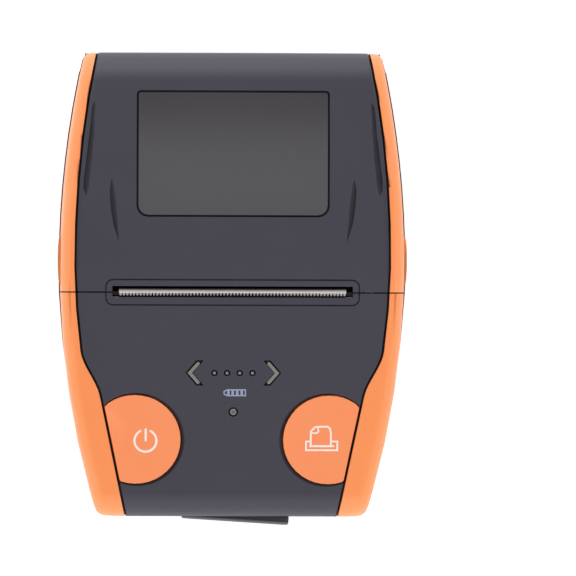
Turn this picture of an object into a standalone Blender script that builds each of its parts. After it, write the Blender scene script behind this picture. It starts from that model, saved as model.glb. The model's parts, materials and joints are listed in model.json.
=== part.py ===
"""Portable receipt printer for 57.5 mm paper: housing, lid, print mechanism, controls and battery.

Metres, +Z up. The user's side, with the buttons, is -Y and the lid's hinge is at +Y.
All places are measured from the body: x = 0 and y = 0 at its middle, z = 0 on the table.
"""

import math

import bmesh
import bpy
from mathutils import Matrix, Vector

# Overall body
BODY_WIDTH = 0.0850
BODY_LENGTH = 0.1133
CROWN_HEIGHT = 0.0460
PARTING_Y = -0.0018
PANEL_RUN = BODY_LENGTH / 2 + PARTING_Y
LID_RUN = BODY_LENGTH / 2 - PARTING_Y
CROWN_PLACE_SHARE = 0.45167
CROWN_Y = PARTING_Y + LID_RUN * CROWN_PLACE_SHARE
WIDEST_Y = 0.0045
REAR_SIDE_RADIUS = 0.235
FRONT_SIDE_RADIUS = 0.204
LID_TOP_RADIUS = 0.090
CROSS_CROWN_RADIUS = 0.600
FRONT_EDGE_SHARE = 15 / 23
FRONT_EDGE_HEIGHT = CROWN_HEIGHT * FRONT_EDGE_SHARE
FRONT_ROLL = 0.0060
REAR_ROLL = 0.0070
CORNER_RADIUS = 0.0015
SIDE_EDGE_RADIUS = 0.0050
BOTTOM_EDGE_RADIUS = 0.0030
BOTTOM_TAPER = 0.0012
TOP_TAPER = 0.0008
SEAM_SHARE = 12 / 23
SEAM_HEIGHT = CROWN_HEIGHT * SEAM_SHARE
MOST_EDGE_SHARE = 0.4
MOST_FOOT_SHARE = 0.3
CROWN_POINT_SHARES = (0.67, 0.33)

# Walls and clearances
WALL = 0.0020
SIDE_WALL = 0.0032
FLOOR = 0.0020
RIB = 0.0012
GAP = 0.0003
HALF_GAP = GAP / 2
OVERRUN = 0.0100
BITE = 0.0010

# Side trims
TRIM_THICKNESS = 0.0014
TRIM_STEP_IN = 0.0003
TRIM_BAND = 0.0042
TRIM_EDGE_HALF = BODY_WIDTH / 2 - TRIM_BAND
TRIM_EDGE_WIDEST_Y = 0.0060
TRIM_EDGE_REAR_RADIUS = 0.255
TRIM_EDGE_FRONT_RADIUS = 0.165
SWEEP_START_SHARE = 0.25889
SWEEP_END_SHARE = 0.45943
TRIM_SWEEP_START_Y = PARTING_Y - PANEL_RUN * SWEEP_START_SHARE
TRIM_SWEEP_END_Y = PARTING_Y - PANEL_RUN * SWEEP_END_SHARE
TRIM_FRONT_BAND = 0.0104
TRIM_FRONT_EDGE_HALF = BODY_WIDTH / 2 - TRIM_FRONT_BAND
TRIM_FRONT_EDGE_SLOPE_SHARE = 0.207
TRIM_FOOT_SHARE = 5 / 23
TRIM_FRONT_FOOT = CROWN_HEIGHT * TRIM_FOOT_SHARE
TAB_LENGTH = 0.0120
TAB_Y = 0.0060
TAB_PROUD = 0.0004
TAB_HEIGHT = 0.0080
TAB_ROOT_SHARE = 0.6

# Lid window
WINDOW_SIDE_MARGIN = 0.0194
WINDOW_WIDTH = BODY_WIDTH - 2 * WINDOW_SIDE_MARGIN
WINDOW_LENGTH_SHARE = 0.51497
WINDOW_LENGTH = LID_RUN * WINDOW_LENGTH_SHARE
WINDOW_PLACE_SHARE = 0.57571
WINDOW_Y = PARTING_Y + LID_RUN * WINDOW_PLACE_SHARE
WINDOW_CORNER = 0.0024
WINDOW_THICKNESS = 0.0010
WINDOW_LEDGE = 0.0015

# Sculpted hollows in the lid, one pair on each side: edges as shares of each hollow's reach
HOLLOW_SLOPE_SHARE = 0.75
HOLLOW_LIFT = 0.0002
HOLLOW_SHARES = (0.0, 0.10, 0.20, 0.35, 0.50, 0.65, 0.80, 0.92, 1.0)
WEDGE_LENGTH_SHARE = 0.41916
WEDGE_LENGTH = LID_RUN * WEDGE_LENGTH_SHARE
WEDGE_REACH = 0.0031
WEDGE_MARGIN = 0.0093
WEDGE_X = BODY_WIDTH / 2 - WEDGE_MARGIN
WEDGE_PLACE_SHARE = 0.59538
WEDGE_Y = PARTING_Y + LID_RUN * WEDGE_PLACE_SHARE
WEDGE_OUTER_SHARES = (0.71, 0.99, 0.97, 0.82, 0.68, 0.53, 0.42, 0.32, 0.02)
WEDGE_INNER_SHARES = (0.71, 0.53, 0.42, 0.29, 0.19, 0.10, 0.03, 0.0, 0.02)
LEAF_LENGTH_SHARE = 0.30453
LEAF_LENGTH = LID_RUN * LEAF_LENGTH_SHARE
LEAF_REACH = 0.0028
LEAF_MARGIN = 0.0154
LEAF_X = BODY_WIDTH / 2 - LEAF_MARGIN
LEAF_PLACE_SHARE = 0.33020
LEAF_Y = PARTING_Y + LID_RUN * LEAF_PLACE_SHARE
LEAF_OUTER_SHARES = (0.0, 0.20, 0.39, 0.68, 0.84, 0.95, 1.0, 0.89, 0.75)
LEAF_INNER_SHARES = (0.0, 0.07, 0.11, 0.20, 0.29, 0.36, 0.50, 0.62, 0.75)

# Paper slot and tear blade
PAPER_MARGIN = 0.01375
PAPER_WIDTH = BODY_WIDTH - 2 * PAPER_MARGIN
SLOT_PLAY = 0.00045
SLOT_HALF = PAPER_WIDTH / 2 + SLOT_PLAY
SLOT_REAR_Y = -0.0003
SLOT_FRONT_Y = -0.0030
NIP_Y = -0.0013
GROOVE_MARGIN = 0.00175
GROOVE_WIDTH = 2 * (SLOT_HALF + GROOVE_MARGIN)
GROOVE_LENGTH = 0.0065
GROOVE_Y = -0.0018
GROOVE_CORNER = 0.0019
GROOVE_LINE = 0.00035
GROOVE_DEPTH = 0.0003
BLADE_SHORT = 0.00115
BLADE_HALF = PAPER_WIDTH / 2 - BLADE_SHORT
BLADE_SHEET = 0.0005
BLADE_TOOTH_PITCH = 0.00081
BLADE_TOOTH_DEPTH = 0.0008
BLADE_FACE = 0.0022
BLADE_LEAN = math.radians(36)
BLADE_ROOT_SHARE = 0.8

# Hinge
HINGE_BARREL = 0.0022
HINGE_KNUCKLE_SHARE = 0.2
HINGE_KNUCKLE_HALF = BODY_WIDTH * HINGE_KNUCKLE_SHARE
HINGE_PIN = 0.00075
HINGE_Y = BODY_LENGTH / 2 - HINGE_BARREL
HINGE_Z = SEAM_HEIGHT
HINGE_END_MARGIN = 0.0063
HINGE_BARREL_END = BODY_WIDTH / 2 - HINGE_END_MARGIN
WEB_FRONT_SHARE = 0.6
SUPPORT_FRONT_SHARE = 0.8
SUPPORT_DROP_SHARE = 2.5

# Print mechanism's frame
FRAME_PLATE = 0.0012
FRAME_PLAY = 0.00145
FRAME_HALF = PAPER_WIDTH / 2 + FRAME_PLAY
FRAME_FRONT_Y = -0.0106
FRAME_REAR_Y = 0.0080
FRAME_DROP = 0.0098
FRAME_TOP = CROWN_HEIGHT - FRAME_DROP

# Paper bucket, 40.9 mm long inside for a roll of up to 40 mm
BUCKET_SIDE_PLAY = 0.00075
BUCKET_WALL = 0.0012
BUCKET_CORNER = 0.0060
BUCKET_CLEARANCE = 0.00035

# Platen and its gear train
PLATEN_RADIUS = 0.0045
PLATEN_HALF = PAPER_WIDTH / 2
NOTCH_DEPTH = 0.0032
PLATEN_Z = FRAME_TOP - NOTCH_DEPTH
PLATEN_Y = NIP_Y + PLATEN_RADIUS
SHAFT_RADIUS = 0.0015
BUSH_RADIUS = 0.0030
BUSH_LENGTH = 0.0026
MODULE_SHARE = 1 / 55
GEAR_MODULE = PLATEN_Z * MODULE_SHARE
GEAR_WIDTH = 0.0020
PLATEN_TEETH = 18
IDLER_TEETH = 24
PINION_TEETH = 10
PRESSURE_ANGLE = math.radians(20)
BACKLASH_SHARE = 0.16
ADDENDUM_SHARE = 0.90
DEDENDUM_SHARE = 1.20
FLANK_SHARES = (0.0, 0.55, 1.0)
IDLER_BEARING = math.radians(-101.5)
PINION_BEARING = math.radians(-121.0)
STUD_RADIUS = 0.0010
MOTOR_SHARE = 5 / 22
MOTOR_RADIUS = PLATEN_Z * MOTOR_SHARE
MOTOR_LENGTH = 0.0100
MOTOR_SHAFT = 0.00075
MOTOR_SPIGOT = 0.0025
MOTOR_EAR_SHARE = 1.4
MOTOR_EAR = MOTOR_RADIUS * MOTOR_EAR_SHARE
EAR_ROUND_SHARE = 0.9
EAR_TURN = math.radians(65)

# Print head
HEAD_THICKNESS = 0.0010
HEAD_HEIGHT = 0.0104
HEAD_BOTTOM = FRAME_TOP - HEAD_HEIGHT
SINK_THICKNESS = 0.0020
SINK_HEIGHT = 0.0117
SINK_BOTTOM = FRAME_TOP - SINK_HEIGHT
SPRING_RADIUS = 0.0020
SPRING_WIRE = 0.0002
SPRING_TURNS = 3.5
SPRING_STEPS = 8
SPRING_X = FRAME_HALF / 2
SPRING_DROP = 0.0052
SPRING_Z = FRAME_TOP - SPRING_DROP

# Lid arms that carry the platen shaft
ARM_THICKNESS = 0.0015
ARM_HALF_WIDTH = 0.0034
ARM_OFFSET = 0.0066
ARM_HALF = FRAME_HALF + ARM_OFFSET

# Controls on the sloping panel
BUTTON_RADIUS = 0.0111
BUTTON_MARGIN = 0.0189
BUTTON_X = BODY_WIDTH / 2 - BUTTON_MARGIN
BUTTON_PLACE_SHARE = 0.65634
BUTTON_Y = PARTING_Y - PANEL_RUN * BUTTON_PLACE_SHARE
BUTTON_WALL = 0.0016
BUTTON_SKIRT = 0.0014
BUTTON_FLANGE = 0.0012
BUTTON_TRAVEL = 0.0005
BUTTON_CHAMFER = 0.0008
BUTTON_EDGE_GAP = 0.00025
STEM_RADIUS = 0.0020
KEY_BOARD_DEPTH = 0.0082
KEY_BOARD_THICKNESS = 0.0010
KEY_BOARD_MARGIN = 0.0125
KEY_BOARD_HALF = BODY_WIDTH / 2 - KEY_BOARD_MARGIN
KEY_BOARD_FRONT_SHARE = 0.86053
KEY_BOARD_REAR_SHARE = 0.27712
KEY_BOARD_FRONT_Y = PARTING_Y - PANEL_RUN * KEY_BOARD_FRONT_SHARE
KEY_BOARD_REAR_Y = PARTING_Y - PANEL_RUN * KEY_BOARD_REAR_SHARE
SWITCH_SIDE = 0.0060
SWITCH_HEIGHT = 0.0022
PLUNGER_RADIUS = 0.0014

# Light guides
LIGHTS_X = 0.0003
LIGHTS_PLACE_SHARE = 0.35734
LIGHTS_Y = PARTING_Y - PANEL_RUN * LIGHTS_PLACE_SHARE
DOT_PITCH = 0.00308
DOT_HOLE = 0.0008
DOT_RADIUS = 0.00048
DOT_COUNT = 4
CHEVRON_TIP = 0.0113
CHEVRON_HALF_HEIGHT = 0.0029
CHEVRON_RUN = 0.0024
CHEVRON_STROKE = 0.00085
CHEVRON_GAP = 0.00025
GUIDE_THICKNESS = 0.0010
GUIDE_MARGIN = 0.0015
LENS_SUNK = 0.0002
STATUS_X = 0.0003
STATUS_PLACE_SHARE = 0.53054
STATUS_Y = PARTING_Y - PANEL_RUN * STATUS_PLACE_SHARE
STATUS_HOLE = 0.0012
STATUS_RADIUS = 0.0009

# Battery bay, door and boards
BAY_MARGIN = 0.0115
BAY_HALF = BODY_WIDTH / 2 - BAY_MARGIN
BAY_FRONT_MARGIN = 0.01115
BAY_FRONT_Y = BAY_FRONT_MARGIN - BODY_LENGTH / 2
BAY_REAR_Y = -0.0130
BOARD_CLEARANCE = 0.0005
BOARD_THICKNESS = 0.0012
BOARD_FRONT_MARGIN = 0.00415
BOARD_FRONT_Y = BOARD_FRONT_MARGIN - BODY_LENGTH / 2
BOARD_REAR_Y = -0.0138
BATTERY_CLEARANCE = 0.0013
BATTERY_CORNER = 0.0020
CONTACT_WIDTH = 0.0090
CONTACT_DEPTH = 0.0018
CONTACT_HEIGHT = 0.0060
CONTACT_MARGIN = 0.0130
CONTACT_X = BAY_HALF - CONTACT_MARGIN
DOOR_THICKNESS = 0.0016
DOOR_CLEAR = 0.0002
DOOR_LEDGE = 0.0018
DOOR_BARREL = 0.0011
FLAP_PIN = 0.0005
FLAP_PIN_LENGTH = 0.0008
LEDGE_PAD = 0.0014

# Port cover and sockets
COVER_LENGTH = 0.0281
COVER_HEIGHT = 0.0070
COVER_THICKNESS = 0.0015
COVER_AJAR = math.radians(3.6)
COVER_LEFT_X = -0.0139
COVER_RISE = 0.0003
COVER_BARREL = 0.00075
PORT_HEIGHT = 0.0046
USB_WIDTH = 0.0078
USB_DEPTH = 0.0056
USB_X = -0.0050
USB_CORNER_SHARE = 0.2
USB_MOUTH_SHARE = 0.125
JACK_RADIUS = 0.0021
JACK_DEPTH = 0.0056
JACK_X = 0.0060
JACK_BORE = 0.0013
SHEET_METAL = 0.0004

# Case screws' wells
SCREW_WELL = 0.0025
SCREW_BOSS = 0.0034
SCREW_BOSS_HEIGHT = 0.0080
SCREW_WELL_DEPTH = 0.0055
SCREW_FRONT_SIDE_MARGIN = 0.0160
SCREW_FRONT_X = BODY_WIDTH / 2 - SCREW_FRONT_SIDE_MARGIN
SCREW_FRONT_MARGIN = 0.00565
SCREW_FRONT_Y = SCREW_FRONT_MARGIN - BODY_LENGTH / 2
SCREW_REAR_SIDE_MARGIN = 0.0075
SCREW_REAR_X = BODY_WIDTH / 2 - SCREW_REAR_SIDE_MARGIN
SCREW_REAR_SHARE = 0.39008
SCREW_REAR_Y = PARTING_Y + LID_RUN * SCREW_REAR_SHARE

# Paper sensor
SENSOR_WIDTH = 0.0050
SENSOR_DEPTH = 0.0016
SENSOR_HEIGHT = 0.0030

# Facets
ARC_STEPS = 4
ROLL_STEPS = 5
LID_STATIONS = 8
PANEL_STATIONS = 4
ROUND_SIDES = 28
SMALL_SIDES = 12
KEY_SIDES = 40
BARREL_SIDES = 20
EDGE_STEPS = 8
ARC_STEPS = 8
SMOOTH_ANGLE = math.radians(30)
BEVEL_ANGLE = math.radians(40)

PARTS = bpy.data.collections.new("receipt_printer")
CUTTERS = bpy.data.collections.new("cutters")


def clear_scene():
    for obj in list(bpy.data.objects):
        bpy.data.objects.remove(obj, do_unlink=True)
    bpy.context.scene.collection.children.link(PARTS)
    bpy.context.scene.collection.children.link(CUTTERS)


def new_object(name, mesh, place=None):
    """An object on this mesh, first kept with the cutters; finish() moves the parts."""
    obj = bpy.data.objects.new(name, mesh)
    CUTTERS.objects.link(obj)
    obj.hide_render = True
    obj.display_type = "WIRE"
    obj.matrix_basis = place or Matrix.Identity(4)
    return obj


def mesh_from(name, bm):
    bmesh.ops.recalc_face_normals(bm, faces=bm.faces)
    mesh = bpy.data.meshes.new(name)
    bm.to_mesh(mesh)
    bm.free()
    return mesh


def box(name, low, high, place=None):
    low, high = Vector(low), Vector(high)
    bm = bmesh.new()
    bmesh.ops.create_cube(bm, size=1.0)
    bmesh.ops.scale(bm, vec=high - low, verts=bm.verts)
    bmesh.ops.translate(bm, vec=(low + high) / 2, verts=bm.verts)
    return new_object(name, mesh_from(name, bm), place)


def cylinder(name, start, end, radius, end_radius=None, sides=ROUND_SIDES, place=None):
    """A cylinder or cone from start to end."""
    start, end = Vector(start), Vector(end)
    run = end - start
    bm = bmesh.new()
    bmesh.ops.create_cone(
        bm,
        cap_ends=True,
        segments=sides,
        radius1=radius,
        radius2=radius if end_radius is None else end_radius,
        depth=run.length,
    )
    turn = run.to_track_quat("Z", "Y").to_matrix().to_4x4()
    bmesh.ops.transform(bm, matrix=Matrix.Translation((start + end) / 2) @ turn, verts=bm.verts)
    return new_object(name, mesh_from(name, bm), place)


def plate(name, outlines, low, high, place=None):
    """A flat outline, with any holes, as a filled 2D curve extruded from low to high along local Z."""
    curve = bpy.data.curves.new(name, "CURVE")
    curve.dimensions = "2D"
    curve.fill_mode = "BOTH"
    curve.extrude = (high - low) / 2
    for outline in outlines:
        spline = curve.splines.new("POLY")
        spline.points.add(len(outline) - 1)
        spline.use_cyclic_u = True
        for point, (x, y) in zip(spline.points, outline):
            point.co = (x, y, 0, 1)
    return solid_of_curve(name, curve, place, Matrix.Translation((0, 0, (low + high) / 2)))


def tube(name, points, radius, place=None):
    """A wire: a curve with a bevel depth and filled caps."""
    curve = bpy.data.curves.new(name, "CURVE")
    curve.dimensions = "3D"
    curve.bevel_depth = radius
    curve.bevel_resolution = 1
    curve.use_fill_caps = True
    spline = curve.splines.new("POLY")
    spline.points.add(len(points) - 1)
    for point, co in zip(spline.points, points):
        point.co = (*co, 1)
    return solid_of_curve(name, curve, place, Matrix.Identity(4))


def solid_of_curve(name, curve, place, shift):
    guide = bpy.data.objects.new(name + "_curve", curve)
    CUTTERS.objects.link(guide)
    bpy.context.view_layer.update()
    graph = bpy.context.evaluated_depsgraph_get()
    mesh = bpy.data.meshes.new_from_object(guide.evaluated_get(graph))
    bpy.data.objects.remove(guide)
    bm = bmesh.new()
    bm.from_mesh(mesh)
    bmesh.ops.remove_doubles(bm, verts=bm.verts, dist=GAP / ROUND_SIDES)
    bmesh.ops.transform(bm, matrix=shift, verts=bm.verts)
    bpy.data.meshes.remove(mesh)
    return new_object(name, mesh_from(name, bm), place)


def boolean(obj, other, operation):
    modifier = obj.modifiers.new(f"{operation.lower()} {other.name}", "BOOLEAN")
    modifier.operation = operation
    modifier.object = other
    modifier.solver = "EXACT"


def cut(obj, *others):
    for other in others:
        boolean(obj, other, "DIFFERENCE")


def keep(obj, *others):
    for other in others:
        boolean(obj, other, "INTERSECT")


def join(obj, *others):
    for other in others:
        boolean(obj, other, "UNION")


def bevel(obj, width, segments=2):
    modifier = obj.modifiers.new("edge", "BEVEL")
    modifier.width = width
    modifier.segments = segments
    modifier.limit_method = "ANGLE"
    modifier.angle_limit = BEVEL_ANGLE


def empty(name, location, turn=None):
    """The empty that a moving body's pieces hang on, on that body's joint axis."""
    obj = bpy.data.objects.new(name, None)
    PARTS.objects.link(obj)
    obj.matrix_basis = Matrix.Translation(location) @ (turn or Matrix.Identity(4))
    obj.parent = ROOT
    return obj


def finish(obj, material, carrier=None):
    """Moves a piece from the cutters to the parts, on the body that carries it."""
    CUTTERS.objects.unlink(obj)
    PARTS.objects.link(obj)
    obj.hide_render = False
    obj.display_type = "TEXTURED"
    obj.data.materials.append(material)
    obj.data.shade_smooth()
    obj.data.set_sharp_from_angle(angle=SMOOTH_ANGLE)
    carrier = carrier or ROOT
    obj.parent = carrier
    if carrier is not ROOT:
        obj.matrix_parent_inverse = carrier.matrix_basis.inverted()
    return obj


def material(name, colour, roughness, metallic=0.0, transmission=0.0):
    made = bpy.data.materials.new(name)
    made.use_nodes = True
    shader = made.node_tree.nodes["Principled BSDF"]
    shader.inputs["Base Color"].default_value = (*colour, 1.0)
    shader.inputs["Roughness"].default_value = roughness
    shader.inputs["Metallic"].default_value = metallic
    shader.inputs["Transmission Weight"].default_value = transmission
    made.diffuse_color = (*colour, 1.0)
    return made


# The body's outer form

def arc_sag(distance, radius):
    """How far a circle has dropped from its crown at this distance."""
    return radius - math.sqrt(max(radius * radius - distance * distance, 0))


def half_width(y):
    radius = REAR_SIDE_RADIUS if y > WIDEST_Y else FRONT_SIDE_RADIUS
    return BODY_WIDTH / 2 - arc_sag(y - WIDEST_Y, radius)


def lid_height(y):
    return CROWN_HEIGHT - arc_sag(y - CROWN_Y, LID_TOP_RADIUS)


PARTING_HEIGHT = lid_height(PARTING_Y)
PANEL_FALL = (PARTING_HEIGHT - FRONT_EDGE_HEIGHT) / (PARTING_Y + BODY_LENGTH / 2)
PANEL_SLOPE = math.atan(PANEL_FALL)
PANEL = Matrix.Translation((0, PARTING_Y, PARTING_HEIGHT)) @ Matrix.Rotation(PANEL_SLOPE, 4, "X")


def top_height(y):
    if y >= PARTING_Y:
        return lid_height(y)
    return PARTING_HEIGHT - (PARTING_Y - y) * PANEL_FALL


def panel_y(y):
    """Along the sloping panel, the place that lies above this y."""
    return (y - PARTING_Y) / math.cos(PANEL_SLOPE)


def round_over(distance, radius):
    """How far an edge round has cut in at this distance from its end."""
    return arc_sag(max(radius - distance, 0), radius)


def width_at(half, z):
    """Half the width at height z: widest at the seam, drawn in below and above."""
    below = max(SEAM_HEIGHT - z, 0) / SEAM_HEIGHT
    above = max(z - SEAM_HEIGHT, 0) / (CROWN_HEIGHT - SEAM_HEIGHT)
    return half - BOTTOM_TAPER * below - TOP_TAPER * above


def ring(y, half, low, high, edge, foot):
    """One closed cross-section: flat bottom, round foot, side, round top edge and a slight crown."""
    span = high - low
    edge = min(edge, span * MOST_EDGE_SHARE)
    foot = min(foot, span * MOST_FOOT_SHARE)
    shoulder = high - arc_sag(half - edge, CROSS_CROWN_RADIUS)
    points = []
    for step in range(ARC_STEPS // 2 + 1):
        angle = math.pi / 2 * step / (ARC_STEPS // 2)
        z = low + foot - foot * math.cos(angle)
        points.append((width_at(half, low + foot) - foot + foot * math.sin(angle), z))
    top_of_side = shoulder - edge
    middle = (low + foot + top_of_side) / 2
    if low + foot < SEAM_HEIGHT < top_of_side:
        middle = SEAM_HEIGHT
    points.append((width_at(half, middle), middle))
    for step in range(ARC_STEPS + 1):
        angle = math.pi / 2 * step / ARC_STEPS
        x = width_at(half, top_of_side) - edge + edge * math.cos(angle)
        points.append((x, top_of_side + edge * math.sin(angle)))
    inner = points[-1][0]
    for share in CROWN_POINT_SHARES:
        x = inner * share
        points.append((x, high - arc_sag(x, CROSS_CROWN_RADIUS)))
    points.append((0, high))
    left = [(-x, z) for x, z in reversed(points) if x > 0]
    return [Vector((x, y, z)) for x, z in points + left]


def stations(front, rear, front_roll, rear_roll):
    """Places along Y: close together where the ends roll over, wider between."""
    found = []
    for step in range(ROLL_STEPS + 1):
        found.append(front + front_roll * (1 - math.cos(math.pi / 2 * step / ROLL_STEPS)))
    for step in range(1, PANEL_STATIONS + 1):
        found.append(found[ROLL_STEPS] + (PARTING_Y - found[ROLL_STEPS]) * step / PANEL_STATIONS)
    start = rear - rear_roll
    for step in range(1, LID_STATIONS + 1):
        found.append(PARTING_Y + (start - PARTING_Y) * step / LID_STATIONS)
    for step in range(1, ROLL_STEPS + 1):
        found.append(rear - rear_roll * (1 - math.sin(math.pi / 2 * step / ROLL_STEPS)))
    return found


def envelope(name, side=0.0, top=0.0, bottom=0.0, ends=0.0):
    """The body's outer form, set in by these amounts: a loft through rings that change along Y."""
    front, rear = -BODY_LENGTH / 2 + ends, BODY_LENGTH / 2 - ends
    front_roll, rear_roll = FRONT_ROLL - ends, REAR_ROLL - ends
    bm = bmesh.new()
    rings = []
    for y in stations(front, rear, front_roll, rear_roll):
        near = min(y - front, rear - y)
        roll = front_roll if y < PARTING_Y else rear_roll
        half = half_width(y) - side - round_over(near, CORNER_RADIUS)
        low = bottom + round_over(near, BOTTOM_EDGE_RADIUS)
        high = top_height(y) - top - round_over(near, roll)
        points = ring(y, half, low, high, SIDE_EDGE_RADIUS - top, BOTTOM_EDGE_RADIUS)
        rings.append([bm.verts.new(point) for point in points])
    for first, second in zip(rings, rings[1:]):
        for i in range(len(first)):
            j = (i + 1) % len(first)
            bm.faces.new((first[i], first[j], second[j], second[i]))
    bm.faces.new(rings[0])
    bm.faces.new(rings[-1])
    return new_object(name, mesh_from(name, bm))


def trim_edge(y):
    """Half the distance between the side trims' inner edges: an arc, a sweep inwards, then a straight run."""
    radius = TRIM_EDGE_REAR_RADIUS if y > TRIM_EDGE_WIDEST_Y else TRIM_EDGE_FRONT_RADIUS
    arc = TRIM_EDGE_HALF - arc_sag(y - TRIM_EDGE_WIDEST_Y, radius)
    share = (TRIM_SWEEP_START_Y - y) / (TRIM_SWEEP_START_Y - TRIM_SWEEP_END_Y)
    share = min(max(share, 0), 1)
    share = share * share * (3 - 2 * share)
    straight = TRIM_FRONT_EDGE_HALF + TRIM_FRONT_EDGE_SLOPE_SHARE * (y - TRIM_SWEEP_END_Y)
    return arc + (straight - arc) * share


def trim_edge_points(side, shift):
    """The trim's inner edge in plan, moved outwards by shift."""
    front, rear = -BODY_LENGTH / 2 - OVERRUN, BODY_LENGTH / 2 + OVERRUN
    places = [front]
    for step in range(EDGE_STEPS + 1):
        places.append(TRIM_SWEEP_END_Y + (TRIM_SWEEP_START_Y - TRIM_SWEEP_END_Y) * step / EDGE_STEPS)
    for step in range(1, EDGE_STEPS + 1):
        places.append(TRIM_SWEEP_START_Y + (rear - TRIM_SWEEP_START_Y) * step / EDGE_STEPS)
    return [(side * (trim_edge(y) + shift), y) for y in places]


def trim_zone(name, side, shift):
    """Everything outside the trim's inner edge."""
    points = trim_edge_points(side, shift)
    outer = side * (BODY_WIDTH / 2 + OVERRUN)
    outline = points + [(outer, points[-1][1]), (outer, points[0][1])]
    return plate(name, [outline], -OVERRUN, CROWN_HEIGHT + OVERRUN)


def side_view(name, outlines, low=-BODY_WIDTH, high=BODY_WIDTH):
    """A prism across the body, from x = low to x = high, from outlines in (y, z)."""
    turn = Matrix(((0, 0, 1, 0), (1, 0, 0, 0), (0, 1, 0, 0), (0, 0, 0, 1)))
    return plate(name, outlines, low, high, turn)


def arc(centre, radius, start, end, steps=ARC_STEPS):
    """Points along a circle's arc, from one angle to another."""
    turns = [start + (end - start) * step / steps for step in range(steps + 1)]
    return [(centre[0] + radius * math.cos(turn), centre[1] + radius * math.sin(turn)) for turn in turns]


def rounded(width, length, corners, centre=(0, 0), steps=4):
    """A rectangle's outline with a radius for each corner, from its lower left one."""
    half_x, half_y = width / 2, length / 2
    signs = ((-1, -1), (1, -1), (1, 1), (-1, 1))
    points = []
    for index, ((sx, sy), radius) in enumerate(zip(signs, corners)):
        start = math.pi * (1 + index / 2)
        for step in range(steps + 1):
            angle = start + math.pi / 2 * step / steps
            x = centre[0] + sx * (half_x - radius) + radius * math.cos(angle)
            y = centre[1] + sy * (half_y - radius) + radius * math.sin(angle)
            points.append((x, y))
    return points


# Regions of the body

FRONT_LIMIT = -BODY_LENGTH / 2 - OVERRUN
REAR_LIMIT = BODY_LENGTH / 2 + OVERRUN
TOP_LIMIT = CROWN_HEIGHT + OVERRUN


def region(name, low_y, high_y, low_z, high_z):
    return box(name, (-BODY_WIDTH, low_y, low_z), (BODY_WIDTH, high_y, high_z))


def trim_side_region(name, spread):
    """The side view of the base trims: in front of the parting line, over a foot that rises to the seam."""
    rear = PARTING_Y - HALF_GAP + spread
    foot = TRIM_FRONT_FOOT - spread
    outline = [
        (FRONT_LIMIT, foot),
        (-BODY_LENGTH / 2, foot),
        (rear, SEAM_HEIGHT + HALF_GAP - spread),
        (rear, TOP_LIMIT),
        (FRONT_LIMIT, TOP_LIMIT),
    ]
    return side_view(name, [outline])


def make_shared_forms():
    """Forms that several pieces are cut from or by."""
    back = TRIM_THICKNESS + GAP
    under = envelope("form_under_trim", back + TRIM_STEP_IN, back, -OVERRUN / 2, back)
    thickness = TRIM_THICKNESS
    trim_back = envelope("form_trim_back", thickness + TRIM_STEP_IN, thickness, -OVERRUN / 2, thickness)
    hollow = envelope("form_hollow", SIDE_WALL, WALL, FLOOR, WALL)
    forms = {"hollow": hollow, "under_trim": under, "trim_back": trim_back}
    for side, word in ((-1, "left"), (1, "right")):
        backing = trim_zone(f"backing_{word}", side, -WALL)
        cut(backing, envelope(f"backing_under_{word}", back + RIB / 2, back + RIB, -OVERRUN / 2, WALL / 2))
        cut(hollow, backing)
        recess = trim_zone(f"recess_{word}", side, -HALF_GAP)
        cut(recess, under)
        forms[f"recess_{word}"] = recess
        low_recess = trim_zone(f"low_recess_{word}", side, -HALF_GAP)
        keep(low_recess, trim_side_region(f"low_recess_side_{word}", GAP))
        cut(low_recess, under)
        forms[f"low_recess_{word}"] = low_recess
    return forms


# Side trims

def make_trim(name, side, look, carrier, on_lid, forms):
    trim = envelope(name, TRIM_STEP_IN)
    keep(trim, trim_zone(name + "_zone", side, HALF_GAP))
    if on_lid:
        low = (0, PARTING_Y + HALF_GAP, SEAM_HEIGHT + HALF_GAP)
        keep(trim, region(name + "_side", low[1], REAR_LIMIT, low[2], TOP_LIMIT))
    else:
        keep(trim, trim_side_region(name + "_side", 0))
    cut(trim, forms["trim_back"])
    if on_lid:
        join(trim, finger_tab(name + "_tab", side))
        cut(trim, hinge_cylinder(name + "_hinge", HINGE_BARREL + GAP, BODY_WIDTH))
    return finish(trim, look, carrier)


def finger_tab(name, side):
    """A low swelling on the lid trim, where a finger lifts the lid."""
    outer = half_width(TAB_Y) - TRIM_STEP_IN
    points = []
    for step in range(EDGE_STEPS + 1):
        share = step / EDGE_STEPS
        y = TAB_Y - TAB_LENGTH / 2 + TAB_LENGTH * share
        points.append((side * (outer + TAB_PROUD * math.sqrt(math.sin(math.pi * share))), y))
    inner = side * (outer - TRIM_THICKNESS * TAB_ROOT_SHARE)
    points += [(inner, points[-1][1]), (inner, points[0][1])]
    low = SEAM_HEIGHT + HALF_GAP
    return plate(name, [points], low, low + TAB_HEIGHT)


# Lid

def hinge_cylinder(name, radius, half_length):
    start, end = (-half_length, HINGE_Y, HINGE_Z), (half_length, HINGE_Y, HINGE_Z)
    return cylinder(name, start, end, radius, sides=BARREL_SIDES)


def window_outline(spread):
    corner = WINDOW_CORNER + spread
    top = WINDOW_CORNER / 4 + max(spread, 0)
    width, length = WINDOW_WIDTH + 2 * spread, WINDOW_LENGTH + 2 * spread
    return rounded(width, length, (corner, corner, top, top), (0, WINDOW_Y))


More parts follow.
